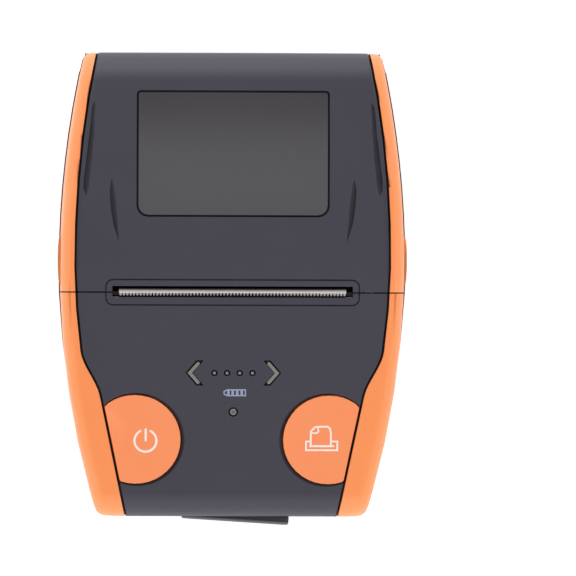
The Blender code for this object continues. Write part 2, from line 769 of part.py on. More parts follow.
def hollow_cutter(name, side, length, reach, place, outer_shares, inner_shares):
    """A blade-shaped hollow: upright along its outer edge, and a facet that rises inwards to the surface."""
    bm = bmesh.new()
    rings = []
    for share, outer_share, inner_share in zip(HOLLOW_SHARES, outer_shares, inner_shares):
        y = place[1] + length * (share - 1 / 2)
        outer, inner = place[0] + reach * outer_share, place[0] + reach * inner_share
        rim = top_height(y) - arc_sag(outer, CROSS_CROWN_RADIUS) + HOLLOW_LIFT
        points = [(outer, rim), (outer, TOP_LIMIT)]
        if outer > inner:
            floor = rim - (outer - inner) * HOLLOW_SLOPE_SHARE
            points = [(outer, floor), (outer, TOP_LIMIT), (inner, TOP_LIMIT), (inner, rim)]
        rings.append([bm.verts.new((side * x, y, z)) for x, z in points])
    for first, second in zip(rings, rings[1:]):
        if len(first) == 2:
            low, high = first
            bm.faces.new((low, second[0], second[1], high))
            bm.faces.new((high, second[1], second[2]))
            bm.faces.new((high, second[2], second[3], low))
            bm.faces.new((low, second[3], second[0]))
        elif len(second) == 2:
            low, high = second
            bm.faces.new((low, first[0], first[1], high))
            bm.faces.new((high, first[1], first[2]))
            bm.faces.new((high, first[2], first[3], low))
            bm.faces.new((low, first[3], first[0]))
        else:
            for i in range(len(first)):
                j = (i + 1) % len(first)
                bm.faces.new((first[i], first[j], second[j], second[i]))
    return new_object(name, mesh_from(name, bm))


def make_lid(looks, axis, forms):
    lid = envelope("lid_shell")
    keep(lid, region("lid_region", PARTING_Y + HALF_GAP, REAR_LIMIT, SEAM_HEIGHT + HALF_GAP, TOP_LIMIT))
    cut(lid, forms["hollow"], forms["recess_left"], forms["recess_right"])
    for side, word in ((-1, "left"), (1, "right")):
        near, far = side * (HINGE_KNUCKLE_HALF + GAP), side * HINGE_BARREL_END
        start, end = (near, HINGE_Y, HINGE_Z), (far, HINGE_Y, HINGE_Z)
        barrel = cylinder(f"lid_barrel_{word}", start, end, HINGE_BARREL, sides=BARREL_SIDES)
        near, far = side * (HINGE_KNUCKLE_HALF + RIB), side * (trim_edge(HINGE_Y) - TRIM_THICKNESS)
        web = box(
            f"lid_web_{word}",
            (min(near, far), HINGE_Y - HINGE_BARREL * WEB_FRONT_SHARE, HINGE_Z + HINGE_PIN),
            (max(near, far), BODY_LENGTH / 2 - WALL / 2, HINGE_Z + HINGE_BARREL + WALL),
        )
        join(lid, barrel, web)
        arm = lid_arm(word, side)
        join(lid, arm)
    cut(lid, hinge_cylinder("lid_pin_bore", HINGE_PIN + GAP, HINGE_BARREL_END - BITE))
    cut(lid, hinge_cylinder("lid_knuckle_room", HINGE_BARREL + GAP, HINGE_KNUCKLE_HALF + GAP))
    ledge = plate("window_seat", [window_outline(GAP)], SEAM_HEIGHT, TOP_LIMIT)
    cut(ledge, envelope("window_floor", 0, WINDOW_THICKNESS + GAP, 0, 0))
    through = plate("window_through", [window_outline(-WINDOW_LEDGE)], SEAM_HEIGHT, TOP_LIMIT)
    cut(lid, ledge, through, forms["lid_slot"])
    for side, word in ((-1, "left"), (1, "right")):
        place, edges = (WEDGE_X, WEDGE_Y), (WEDGE_OUTER_SHARES, WEDGE_INNER_SHARES)
        wedge = hollow_cutter(f"wedge_{word}", side, WEDGE_LENGTH, WEDGE_REACH, place, *edges)
        place, edges = (LEAF_X, LEAF_Y), (LEAF_OUTER_SHARES, LEAF_INNER_SHARES)
        leaf = hollow_cutter(f"leaf_{word}", side, LEAF_LENGTH, LEAF_REACH, place, *edges)
        cut(lid, wedge, leaf)
    cut(lid, forms["groove"])
    finish(lid, looks["housing"], axis)
    window = envelope("window")
    keep(window, plate("window_outline", [window_outline(0)], SEAM_HEIGHT, TOP_LIMIT))
    cut(window, envelope("window_back", 0, WINDOW_THICKNESS, 0, 0))
    finish(window, looks["window"], axis)


def lid_arm(word, side):
    """A hanger from the lid's roof, with a bore for the platen shaft."""
    near, far = side * (ARM_HALF - ARM_THICKNESS), side * ARM_HALF
    low, high = min(near, far), max(near, far)
    roof = lid_height(PLATEN_Y) - WALL - arc_sag(ARM_HALF, CROSS_CROWN_RADIUS)
    centre = (PLATEN_Y, PLATEN_Z)
    outline = arc(centre, ARM_HALF_WIDTH, -math.pi, 0)
    outline += [(PLATEN_Y + ARM_HALF_WIDTH, roof + BITE / 2), (PLATEN_Y - ARM_HALF_WIDTH, roof + BITE / 2)]
    bore = arc(centre, SHAFT_RADIUS + GAP, 0, 2 * math.pi, SMALL_SIDES)[:-1]
    return side_view(f"arm_{word}", [outline, bore], low, high)


# Upper front housing

# Pieces under the panel clear its crown as far out as the keys reach
PANEL_UNDER = WALL + GAP + arc_sag(TRIM_FRONT_EDGE_HALF, CROSS_CROWN_RADIUS)


def at_panel(name, x, y, depth_low, depth_high, radius, end_radius=None, sides=ROUND_SIDES):
    """A cylinder square to the sloping panel, from one depth under its surface to another."""
    start, end = (x, panel_y(y), depth_low), (x, panel_y(y), depth_high)
    return cylinder(name, start, end, radius, end_radius, sides, PANEL)


def chevron(side, stroke, grow=0.0):
    """A V's outline on its side, pointing outwards."""
    slant = math.hypot(CHEVRON_RUN, CHEVRON_HALF_HEIGHT) / CHEVRON_HALF_HEIGHT
    thick = stroke * slant
    tip = CHEVRON_TIP + grow * slant
    high = CHEVRON_HALF_HEIGHT + grow
    run = CHEVRON_RUN * high / CHEVRON_HALF_HEIGHT
    points = [
        (tip, 0),
        (tip - run, high),
        (tip - run - thick, high),
        (tip - thick, 0),
        (tip - run - thick, -high),
        (tip - run, -high),
    ]
    return [(LIGHTS_X + side * x, panel_y(LIGHTS_Y) + y) for x, y in points]


def dot_places():
    return [LIGHTS_X + DOT_PITCH * (index - (DOT_COUNT - 1) / 2) for index in range(DOT_COUNT)]


def make_upper_housing(looks, forms):
    upper = envelope("upper_housing")
    seam = SEAM_HEIGHT + HALF_GAP
    keep(upper, region("upper_region", FRONT_LIMIT, PARTING_Y - HALF_GAP, seam, TOP_LIMIT))
    cut(upper, forms["hollow"], forms["recess_left"], forms["recess_right"])
    rim = BUTTON_RADIUS + GAP
    for side, word in ((-1, "left"), (1, "right")):
        x = side * BUTTON_X
        zone = trim_zone(f"button_zone_{word}", side, HALF_GAP)
        hole = at_panel(f"button_hole_{word}", x, BUTTON_Y, -OVERRUN, OVERRUN, rim, sides=KEY_SIDES)
        low, high, wide = -BUTTON_CHAMFER, BUTTON_CHAMFER, rim + 2 * BUTTON_CHAMFER
        dish = at_panel(f"button_dish_{word}", x, BUTTON_Y, low, high, rim, wide, KEY_SIDES)
        join(hole, dish)
        cut(hole, zone)
        outline = chevron(side, CHEVRON_STROKE + 2 * CHEVRON_GAP, CHEVRON_GAP)
        cut(upper, hole, plate(f"chevron_hole_{word}", [outline], -OVERRUN, OVERRUN, PANEL))
    for index, x in enumerate(dot_places()):
        cut(upper, at_panel(f"dot_hole_{index}", x, LIGHTS_Y, -OVERRUN, OVERRUN, DOT_HOLE, sides=SMALL_SIDES))
    cut(upper, at_panel("status_hole", STATUS_X, STATUS_Y, -OVERRUN, OVERRUN, STATUS_HOLE, sides=SMALL_SIDES))
    cut(upper, forms["base_slot"], forms["groove"])
    finish(upper, looks["housing"])


def make_button(name, side, look, carrier):
    """A round key, cut straight along the trim, with a skirt, a retaining flange and a stem."""
    x = side * BUTTON_X
    depth = PANEL_UNDER + GUIDE_THICKNESS
    flange_radius = BUTTON_RADIUS + BUTTON_FLANGE
    key = envelope(name)
    keep(key, at_panel(name + "_disc", x, BUTTON_Y, -depth, OVERRUN, BUTTON_RADIUS, sides=KEY_SIDES))
    flange = at_panel(name + "_flange", x, BUTTON_Y, -depth, -PANEL_UNDER, flange_radius, sides=KEY_SIDES)
    cut(flange, trim_zone(name + "_flange_zone", side, -SIDE_WALL))
    join(key, flange)
    cut(key, trim_zone(name + "_zone", side, -BUTTON_EDGE_GAP))
    inside = BUTTON_RADIUS - BUTTON_SKIRT
    pocket = at_panel(name + "_pocket", x, BUTTON_Y, -OVERRUN, -BUTTON_WALL, inside, sides=KEY_SIDES)
    cut(pocket, trim_zone(name + "_pocket_zone", side, -BUTTON_EDGE_GAP - BUTTON_SKIRT))
    cut(key, pocket)
    high = -BUTTON_WALL / 2
    join(key, at_panel(name + "_stem", x, BUTTON_Y, -depth, high, STEM_RADIUS, sides=SMALL_SIDES))
    return finish(key, look, carrier)


def make_switch(name, side, looks, carrier):
    """A tact switch on the key board and its plunger, which moves with the key above it."""
    x, y = side * BUTTON_X, panel_y(BUTTON_Y)
    low = -KEY_BOARD_DEPTH + GAP
    high = low + SWITCH_HEIGHT
    half = SWITCH_SIDE / 2
    body = box(name, (x - half, y - half, low), (x + half, y + half, high), PANEL)
    bore_floor = low + RIB / 2
    start, end = (x, y, bore_floor), (x, y, high + BITE)
    cut(body, cylinder(name + "_bore", start, end, PLUNGER_RADIUS + GAP, None, SMALL_SIDES, PANEL))
    finish(body, looks["black_plastic"])
    start = (x, y, bore_floor + GAP + BUTTON_TRAVEL)
    end = (x, y, -PANEL_UNDER - GUIDE_THICKNESS - GAP)
    plunger = cylinder(name + "_plunger", start, end, PLUNGER_RADIUS, None, SMALL_SIDES, PANEL)
    finish(plunger, looks["black_plastic"], carrier)


def make_light_guides(looks):
    under = -(WALL + GAP)
    bottom = under - GUIDE_THICKNESS
    middle = under - GUIDE_THICKNESS / 2
    reach = CHEVRON_TIP + GUIDE_MARGIN
    high = CHEVRON_HALF_HEIGHT + GUIDE_MARGIN
    y = panel_y(LIGHTS_Y)
    start, end = (LIGHTS_X - reach, y - high, bottom), (LIGHTS_X + reach, y + high, under)
    guide = box("light_guide", start, end, PANEL)
    for side, word in ((-1, "left"), (1, "right")):
        outline = chevron(side, CHEVRON_STROKE)
        join(guide, plate(f"chevron_post_{word}", [outline], middle, -LENS_SUNK, PANEL))
    for index, x in enumerate(dot_places()):
        post = at_panel(f"dot_post_{index}", x, LIGHTS_Y, middle, -LENS_SUNK, DOT_RADIUS, sides=SMALL_SIDES)
        join(guide, post)
    finish(guide, looks["light_pipe"])
    base_radius = STATUS_HOLE + GUIDE_MARGIN / 2
    status = at_panel("status_light_guide", STATUS_X, STATUS_Y, bottom, under, base_radius)
    top = -LENS_SUNK
    join(status, at_panel("status_post", STATUS_X, STATUS_Y, middle, top, STATUS_RADIUS, sides=SMALL_SIDES))
    finish(status, looks["light_pipe"])


def make_key_board(looks):
    board = box(
        "key_board",
        (-KEY_BOARD_HALF, panel_y(KEY_BOARD_FRONT_Y), -KEY_BOARD_DEPTH - KEY_BOARD_THICKNESS),
        (KEY_BOARD_HALF, panel_y(KEY_BOARD_REAR_Y), -KEY_BOARD_DEPTH),
        PANEL,
    )
    finish(board, looks["circuit_board"])


# Lower housing

def make_lower_housing(looks, forms):
    lower = envelope("lower_housing")
    keep(lower, region("lower_region", FRONT_LIMIT, REAR_LIMIT, -OVERRUN, SEAM_HEIGHT - HALF_GAP))
    cut(lower, forms["hollow"])
    pads = [battery_bay(), port_pad(), door_pad()]
    pads += [screw_boss(index, x, y) for index, (x, y) in enumerate(screw_places())]
    join(lower, *pads)
    cut(lower, forms["low_recess_left"], forms["low_recess_right"])
    for index, (x, y) in enumerate(screw_places()):
        start, end = (x, y, -OVERRUN), (x, y, SCREW_WELL_DEPTH)
        cut(lower, cylinder(f"screw_well_{index}", start, end, SCREW_WELL, sides=BARREL_SIDES))
    swing = hinge_cylinder("hinge_swing", HINGE_BARREL + GAP, BODY_WIDTH)
    rear_drop = region(
        "hinge_drop", HINGE_Y, REAR_LIMIT, HINGE_Z - HINGE_BARREL - GAP, SEAM_HEIGHT + OVERRUN
    )
    cut(lower, swing, rear_drop)
    knuckle = hinge_cylinder("base_knuckle", HINGE_BARREL, HINGE_KNUCKLE_HALF)
    support_low = HINGE_Z - HINGE_BARREL * SUPPORT_DROP_SHARE
    support = box(
        "knuckle_support",
        (-HINGE_KNUCKLE_HALF, HINGE_Y - HINGE_BARREL * SUPPORT_FRONT_SHARE, support_low),
        (HINGE_KNUCKLE_HALF, BODY_LENGTH / 2 - WALL, HINGE_Z),
    )
    join(lower, knuckle, support)
    cut(lower, hinge_cylinder("base_pin_bore", HINGE_PIN + GAP, HINGE_KNUCKLE_HALF + BITE))
    cut_door_opening(lower)
    cut_port_opening(lower)
    finish(lower, looks["housing"])


def screw_places():
    return [
        (-SCREW_FRONT_X, SCREW_FRONT_Y),
        (SCREW_FRONT_X, SCREW_FRONT_Y),
        (-SCREW_REAR_X, SCREW_REAR_Y),
        (SCREW_REAR_X, SCREW_REAR_Y),
    ]


def screw_boss(index, x, y):
    start, end = (x, y, FLOOR / 2), (x, y, SCREW_BOSS_HEIGHT)
    return cylinder(f"screw_boss_{index}", start, end, SCREW_BOSS, sides=BARREL_SIDES)


def battery_bay():
    """Upright ribs all round the battery, which also carry the main board."""
    low, high = FLOOR / 2, BOARD_BOTTOM - GAP
    bay = box("bay_outer", (-BAY_HALF - RIB, BAY_FRONT_Y - RIB, low), (BAY_HALF + RIB, BAY_REAR_Y, high))
    inner_low, inner_high = (-BAY_HALF, BAY_FRONT_Y, -OVERRUN), (BAY_HALF, BAY_REAR_Y - RIB, high + OVERRUN)
    cut(bay, box("bay_inner", inner_low, inner_high))
    return bay


KEY_BOARD_LOWEST = PANEL @ Vector((0, panel_y(KEY_BOARD_FRONT_Y), -KEY_BOARD_DEPTH - KEY_BOARD_THICKNESS))
BOARD_BOTTOM = KEY_BOARD_LOWEST.z - BOARD_CLEARANCE - BOARD_THICKNESS
DOOR_FRONT_Y = BAY_FRONT_Y + DOOR_LEDGE
DOOR_HINGE_Y = BAY_REAR_Y - RIB - DOOR_BARREL - DOOR_LEDGE
DOOR_HINGE_Z = DOOR_CLEAR + DOOR_BARREL
DOOR_HALF = BAY_HALF - DOOR_LEDGE
DOOR_BARREL_HALF = DOOR_HALF


def door_pad():
    """The floor is thicker round the battery door, so that its ledge is strong."""
    pad = box(
        "door_pad",
        (-BAY_HALF - RIB / 2, BAY_FRONT_Y - RIB / 2, FLOOR / 2),
        (BAY_HALF + RIB / 2, BAY_REAR_Y - RIB / 2, FLOOR + LEDGE_PAD),
    )
    return pad


def cut_door_opening(lower):
    seat_top = DOOR_CLEAR + DOOR_THICKNESS + GAP
    radius = DOOR_BARREL + GAP
    front = DOOR_FRONT_Y - GAP
    meets = math.asin((seat_top - DOOR_HINGE_Z) / radius)
    outline = [(front, -OVERRUN), (front, seat_top)]
    outline += arc((DOOR_HINGE_Y, DOOR_HINGE_Z), radius, math.pi - meets, 0)
    outline += [(DOOR_HINGE_Y + radius, -OVERRUN)]
    seat = side_view("door_seat", [outline], -DOOR_HALF - GAP, DOOR_HALF + GAP)
    through = box(
        "door_through",
        (-DOOR_HALF + DOOR_LEDGE, DOOR_FRONT_Y + DOOR_LEDGE, -OVERRUN),
        (DOOR_HALF - DOOR_LEDGE, DOOR_HINGE_Y - DOOR_BARREL - DOOR_LEDGE, FLOOR + LEDGE_PAD + BITE),
    )
    reach = DOOR_BARREL_HALF + FLAP_PIN_LENGTH + GAP
    pins = cylinder(
        "door_pin_room",
        (-reach, DOOR_HINGE_Y, DOOR_HINGE_Z),
        (reach, DOOR_HINGE_Y, DOOR_HINGE_Z),
        FLAP_PIN + GAP,
        sides=SMALL_SIDES,
    )
    cut(lower, seat, through, pins)


def make_battery_door(looks, carrier):
    door = box(
        "battery_door",
        (-DOOR_HALF, DOOR_FRONT_Y, DOOR_CLEAR),
        (DOOR_HALF, DOOR_HINGE_Y - GAP, DOOR_CLEAR + DOOR_THICKNESS),
    )
    barrel = cylinder(
        "door_barrel",
        (-DOOR_BARREL_HALF, DOOR_HINGE_Y, DOOR_HINGE_Z),
        (DOOR_BARREL_HALF, DOOR_HINGE_Y, DOOR_HINGE_Z),
        DOOR_BARREL,
        sides=BARREL_SIDES,
    )
    reach = DOOR_BARREL_HALF + FLAP_PIN_LENGTH
    pin = cylinder(
        "door_pin",
        (-reach, DOOR_HINGE_Y, DOOR_HINGE_Z),
        (reach, DOOR_HINGE_Y, DOOR_HINGE_Z),
        FLAP_PIN,
        sides=SMALL_SIDES,
    )
    grip = plate(
        "door_grip",
        [rounded(DOOR_HALF / 2, DOOR_LEDGE * 2, (DOOR_LEDGE / 2,) * 4, (0, DOOR_FRONT_Y + DOOR_LEDGE * 3))],
        -OVERRUN,
        DOOR_CLEAR + DOOR_THICKNESS / 2,
    )
    join(door, barrel, pin)
    cut(door, grip)
    finish(door, looks["housing"], carrier)


def make_battery(looks):
    low = FLOOR + LEDGE_PAD + GAP
    rear = BAY_REAR_Y - RIB - CONTACT_DEPTH - 2 * GAP
    pack = box(
        "battery_pack",
        (-BAY_HALF + GAP, BAY_FRONT_Y + GAP, low),
        (BAY_HALF - GAP, rear, BOARD_BOTTOM - BATTERY_CLEARANCE),
    )
    bevel(pack, BATTERY_CORNER, 3)
    finish(pack, looks["battery_wrap"])
    contacts = box(
        "battery_contacts",
        (CONTACT_X - CONTACT_WIDTH / 2, BAY_REAR_Y - RIB - GAP - CONTACT_DEPTH, low),
        (CONTACT_X + CONTACT_WIDTH / 2, BAY_REAR_Y - RIB - GAP, low + CONTACT_HEIGHT),
    )
    finish(contacts, looks["black_plastic"])


def board_outline():
    front = half_width(BOARD_FRONT_Y) - SIDE_WALL - BOTTOM_TAPER - GAP
    rear = half_width(BOARD_REAR_Y) - SIDE_WALL - BOTTOM_TAPER - GAP
    return [(-front, BOARD_FRONT_Y), (front, BOARD_FRONT_Y), (rear, BOARD_REAR_Y), (-rear, BOARD_REAR_Y)]


def make_main_board(looks):
    board = plate("main_board", [board_outline()], BOARD_BOTTOM, BOARD_BOTTOM + BOARD_THICKNESS)
    finish(board, looks["circuit_board"])


# Port cover and sockets

FRONT_FACE_Y = -BODY_LENGTH / 2
COVER_AXIS_X = COVER_LEFT_X + COVER_BARREL
COVER_AXIS_Y = FRONT_FACE_Y + COVER_BARREL
COVER_SEAT = COVER_THICKNESS + GAP
SOCKET_FRONT_Y = FRONT_FACE_Y + COVER_SEAT + WALL - GAP
SOCKET_TOP = BOARD_BOTTOM - GAP
PORT_Z = SOCKET_TOP - PORT_HEIGHT / 2
COVER_Z = PORT_Z + COVER_RISE


def port_pad():
    """The front wall is thicker behind the cover's recess."""
    half_z = COVER_HEIGHT / 2 + WALL
    pad = box(
        "port_pad",
        (COVER_LEFT_X - WALL, FRONT_FACE_Y + WALL / 2, COVER_Z - half_z),
        (COVER_LEFT_X + COVER_LENGTH + WALL, FRONT_FACE_Y + COVER_SEAT + WALL, SEAM_HEIGHT - GAP),
    )
    return pad


def cut_port_opening(lower):
    low, high = COVER_Z - COVER_HEIGHT / 2 - GAP, COVER_Z + COVER_HEIGHT / 2 + GAP
    radius = COVER_BARREL + GAP
    right, front = COVER_LEFT_X + COVER_LENGTH + GAP, FRONT_FACE_Y - OVERRUN
    outline = [(right, front), (right, FRONT_FACE_Y + COVER_SEAT)]
    outline += arc((COVER_AXIS_X, COVER_AXIS_Y), radius, math.pi / 2, math.pi)
    outline += [(COVER_AXIS_X - radius, front)]
    seat = plate("cover_seat", [outline], low, high)
    half_z = COVER_HEIGHT / 2 + FLAP_PIN_LENGTH + GAP
    pins = cylinder(
        "cover_pin_room",
        (COVER_AXIS_X, COVER_AXIS_Y, COVER_Z - half_z),
        (COVER_AXIS_X, COVER_AXIS_Y, COVER_Z + half_z),
        FLAP_PIN + GAP,
        sides=SMALL_SIDES,
    )
    corners = (PORT_HEIGHT * USB_CORNER_SHARE,) * 4
    mouth = rounded(USB_WIDTH + 2 * GAP, PORT_HEIGHT + 2 * GAP, corners, (USB_X, PORT_Z))
    usb = plate("usb_hole", [mouth], -OVERRUN, OVERRUN, FACE)
    jack = cylinder(
        "jack_hole",
        (JACK_X, FRONT_FACE_Y - OVERRUN, PORT_Z),
        (JACK_X, SOCKET_FRONT_Y + OVERRUN, PORT_Z),
        JACK_RADIUS + GAP,
        sides=BARREL_SIDES,
    )
    cut(lower, seat, pins, usb, jack)


# Local X to the right, local Y up and local Z out of the front face
FACE = Matrix.Translation((0, FRONT_FACE_Y, 0)) @ Matrix.Rotation(math.pi / 2, 4, "X")


def make_sockets(looks):
    low, high = SOCKET_TOP - PORT_HEIGHT, SOCKET_TOP
    back = -(SOCKET_FRONT_Y - FRONT_FACE_Y) - USB_DEPTH
    front = -(SOCKET_FRONT_Y - FRONT_FACE_Y)
    shell = rounded(USB_WIDTH, PORT_HEIGHT, (PORT_HEIGHT * USB_CORNER_SHARE,) * 4, (USB_X, PORT_Z))
    usb = plate("usb_socket", [shell], back, front, FACE)
    corners = (PORT_HEIGHT * USB_MOUTH_SHARE,) * 4
    inner_width, inner_height = USB_WIDTH - 2 * SHEET_METAL, PORT_HEIGHT - 2 * SHEET_METAL
    inner = rounded(inner_width, inner_height, corners, (USB_X, PORT_Z))
    cut(usb, plate("usb_mouth", [inner], back + RIB, front + BITE, FACE))
    tongue_half = (USB_WIDTH - 4 * SHEET_METAL) / 2
    tongue = box(
        "usb_tongue",
        (USB_X - tongue_half, PORT_Z - SHEET_METAL, back + RIB / 2),
        (USB_X + tongue_half, PORT_Z + SHEET_METAL, front - RIB / 2),
        FACE,
    )
    join(usb, tongue)
    finish(usb, looks["plated_steel"])
    jack = cylinder(
        "dc_jack",
        (JACK_X, SOCKET_FRONT_Y, PORT_Z),
        (JACK_X, SOCKET_FRONT_Y + JACK_DEPTH, PORT_Z),
        JACK_RADIUS,
        sides=BARREL_SIDES,
    )
    half = PORT_HEIGHT / 2
    body = box(
        "jack_body",
        (JACK_X - half, SOCKET_FRONT_Y + WALL, low),
        (JACK_X + half, SOCKET_FRONT_Y + JACK_DEPTH, high),
    )
    join(jack, body)
    cut(
        jack,
        cylinder(
            "jack_bore",
            (JACK_X, SOCKET_FRONT_Y - BITE, PORT_Z),
            (JACK_X, SOCKET_FRONT_Y + JACK_DEPTH - RIB, PORT_Z),
            JACK_BORE,
            sides=SMALL_SIDES,
        ),
    )
    pin_radius = JACK_BORE / 3
    join(
        jack,
        cylinder(
            "jack_pin",
            (JACK_X, SOCKET_FRONT_Y + RIB, PORT_Z),
            (JACK_X, SOCKET_FRONT_Y + JACK_DEPTH - RIB / 2, PORT_Z),
            pin_radius,
            sides=SMALL_SIDES,
        ),
    )
    finish(jack, looks["black_plastic"])


def make_port_cover(looks, carrier):
    """A rubber flap on two pins at its left end, drawn ajar as it sits in use."""
    place = carrier.matrix_basis
    run = COVER_LENGTH - COVER_BARREL
    half_z = COVER_HEIGHT / 2
    corner = COVER_HEIGHT / 4
    middle = (run / 2 - COVER_BARREL / 2, 0)
    outline = rounded(run + COVER_BARREL, COVER_HEIGHT, (0.0, corner, corner, 0.0), middle)
    outline = [(max(x, 0), y) for x, y in outline]
    turn = Matrix.Rotation(math.pi / 2, 4, "X")
    flap = plate("port_cover", [outline], COVER_BARREL - COVER_THICKNESS, COVER_BARREL, place @ turn)
    barrel = cylinder(
        "cover_barrel", (0, 0, -half_z), (0, 0, half_z), COVER_BARREL, sides=BARREL_SIDES, place=place
    )
    reach = half_z + FLAP_PIN_LENGTH
    pin = cylinder("cover_pin", (0, 0, -reach), (0, 0, reach), FLAP_PIN, sides=SMALL_SIDES, place=place)
    join(flap, barrel, pin)
    finish(flap, looks["rubber"], carrier)


# Paper bucket and sensor

BUCKET_HALF = PAPER_WIDTH / 2 + BUCKET_SIDE_PLAY
BUCKET_REAR_Y = HINGE_Y - HINGE_BARREL - 2 * GAP - BUCKET_WALL
BUCKET_FRONT_Y = FRAME_REAR_Y + BUCKET_CLEARANCE + BUCKET_WALL
BUCKET_BOTTOM = FLOOR + GAP
BUCKET_TOP = SEAM_HEIGHT - 2 * GAP


def make_bucket(looks):
    """An open box whose floor curves up into its front and rear walls, as the roll does."""
    wall = BUCKET_WALL
    front, rear = BUCKET_FRONT_Y - wall, BUCKET_REAR_Y + wall
    length = rear - front
    middle = (front + rear) / 2
    height = BUCKET_TOP + OVERRUN - BUCKET_BOTTOM
    outline = rounded(
        length, height, (BUCKET_CORNER, BUCKET_CORNER, 0.0, 0.0), (middle, BUCKET_BOTTOM + height / 2)
    )
    outline = [(y, min(z, BUCKET_TOP)) for y, z in outline]
    half = BUCKET_HALF + wall
    turn = Matrix(((0, 0, 1, 0), (1, 0, 0, 0), (0, 1, 0, 0), (0, 0, 0, 1)))
    bucket = plate("paper_bucket", [outline], -half, half, turn)
    inner_corner = BUCKET_CORNER - wall
    room_middle = (middle, BUCKET_BOTTOM + wall + height / 2)
    room = rounded(length - 2 * wall, height, (inner_corner, inner_corner, 0.0, 0.0), room_middle)
    cut(bucket, plate("bucket_room", [room], -BUCKET_HALF, BUCKET_HALF, turn))
    notch_half = SENSOR_WIDTH / 2 + GAP
    notch = box(
        "sensor_notch",
        (-notch_half, front - BITE, BUCKET_TOP - SENSOR_HEIGHT),
        (notch_half, BUCKET_FRONT_Y + BITE, BUCKET_TOP + BITE),
    )
    cut(bucket, notch)
    finish(bucket, looks["black_plastic"])
    sensor = box(
        "paper_sensor",
        (-SENSOR_WIDTH / 2, front, BUCKET_TOP - SENSOR_HEIGHT + GAP),
        (SENSOR_WIDTH / 2, front + SENSOR_DEPTH, BUCKET_TOP),
    )
    finish(sensor, looks["black_plastic"])


# Gears

def involute(angle):
    return math.tan(angle) - angle


def gear_outline(teeth, phase):
    """Involute teeth with a share of the pitch taken off for backlash."""
    pitch = GEAR_MODULE * teeth / 2
    base = pitch * math.cos(PRESSURE_ANGLE)
    tip = pitch + ADDENDUM_SHARE * GEAR_MODULE
    root = pitch - DEDENDUM_SHARE * GEAR_MODULE
    half_tooth = math.pi / (2 * teeth) * (1 - BACKLASH_SHARE)
    flank = []
    for share in FLANK_SHARES:
        radius = root + (tip - root) * share
        rolled = math.acos(min(base / radius, 1.0))
        flank.append((radius, half_tooth + involute(PRESSURE_ANGLE) - involute(rolled)))
    points = []
    for index in range(teeth):
        centre = phase + 2 * math.pi * index / teeth
        for radius, angle in flank:
            points.append((radius * math.cos(centre - angle), radius * math.sin(centre - angle)))
        for radius, angle in reversed(flank):
            points.append((radius * math.cos(centre + angle), radius * math.sin(centre + angle)))
    return points


def circle(radius, sides=SMALL_SIDES):
    angles = [2 * math.pi * i / sides for i in range(sides)]
    return [(radius * math.cos(angle), radius * math.sin(angle)) for angle in angles]


def along_x(y, z):
    """Local X and Y lie along world Y and Z, and local Z along world X."""
    return Matrix(((0, 0, 1, 0), (1, 0, 0, y), (0, 1, 0, z), (0, 0, 0, 1)))


GEAR_X = FRAME_HALF + (FRAME_PLATE + BUSH_LENGTH) / 2 + GAP
PLATEN_TO_IDLER = GEAR_MODULE * (PLATEN_TEETH + IDLER_TEETH) / 2
IDLER_TO_PINION = GEAR_MODULE * (IDLER_TEETH + PINION_TEETH) / 2
IDLER_Y = PLATEN_Y + PLATEN_TO_IDLER * math.cos(IDLER_BEARING)
IDLER_Z = PLATEN_Z + PLATEN_TO_IDLER * math.sin(IDLER_BEARING)
PINION_Y = IDLER_Y + IDLER_TO_PINION * math.cos(PINION_BEARING)
PINION_Z = IDLER_Z + IDLER_TO_PINION * math.sin(PINION_BEARING)
PLATEN_PHASE = IDLER_BEARING
IDLER_PHASE = IDLER_BEARING + math.pi + math.pi / IDLER_TEETH
IDLER_OFFSET = (IDLER_PHASE - PINION_BEARING) * IDLER_TEETH / PINION_TEETH
PINION_PHASE = PINION_BEARING + math.pi - IDLER_OFFSET + math.pi / PINION_TEETH


def make_gears(looks, axes):
    platen_gear = plate(
        "platen_gear",
        [gear_outline(PLATEN_TEETH, PLATEN_PHASE), circle(SHAFT_RADIUS + GAP)],
        GEAR_X,
        GEAR_X + GEAR_WIDTH,
        along_x(PLATEN_Y, PLATEN_Z),
    )
    finish(platen_gear, looks["gear_plastic"], axes["platen"])
    idler = plate(
        "idler_gear",
        [gear_outline(IDLER_TEETH, IDLER_PHASE), circle(STUD_RADIUS + GAP)],
        GEAR_X,
        GEAR_X + GEAR_WIDTH,
        along_x(IDLER_Y, IDLER_Z),
    )
    finish(idler, looks["gear_plastic"], axes["idler"])
    pinion = plate(
        "motor_pinion",
        [gear_outline(PINION_TEETH, PINION_PHASE)],
        GEAR_X,
        GEAR_X + GEAR_WIDTH,
        along_x(PINION_Y, PINION_Z),
    )
    shaft_start = FRAME_HALF - GAP - MOTOR_LENGTH / 3
    join(
        pinion,
        cylinder(
            "pinion_shaft",
            (shaft_start, PINION_Y, PINION_Z),
            (GEAR_X + GEAR_WIDTH / 2, PINION_Y, PINION_Z),
            MOTOR_SHAFT,
            sides=SMALL_SIDES,
        ),
    )
    finish(pinion, looks["brass"], axes["pinion"])


# Platen

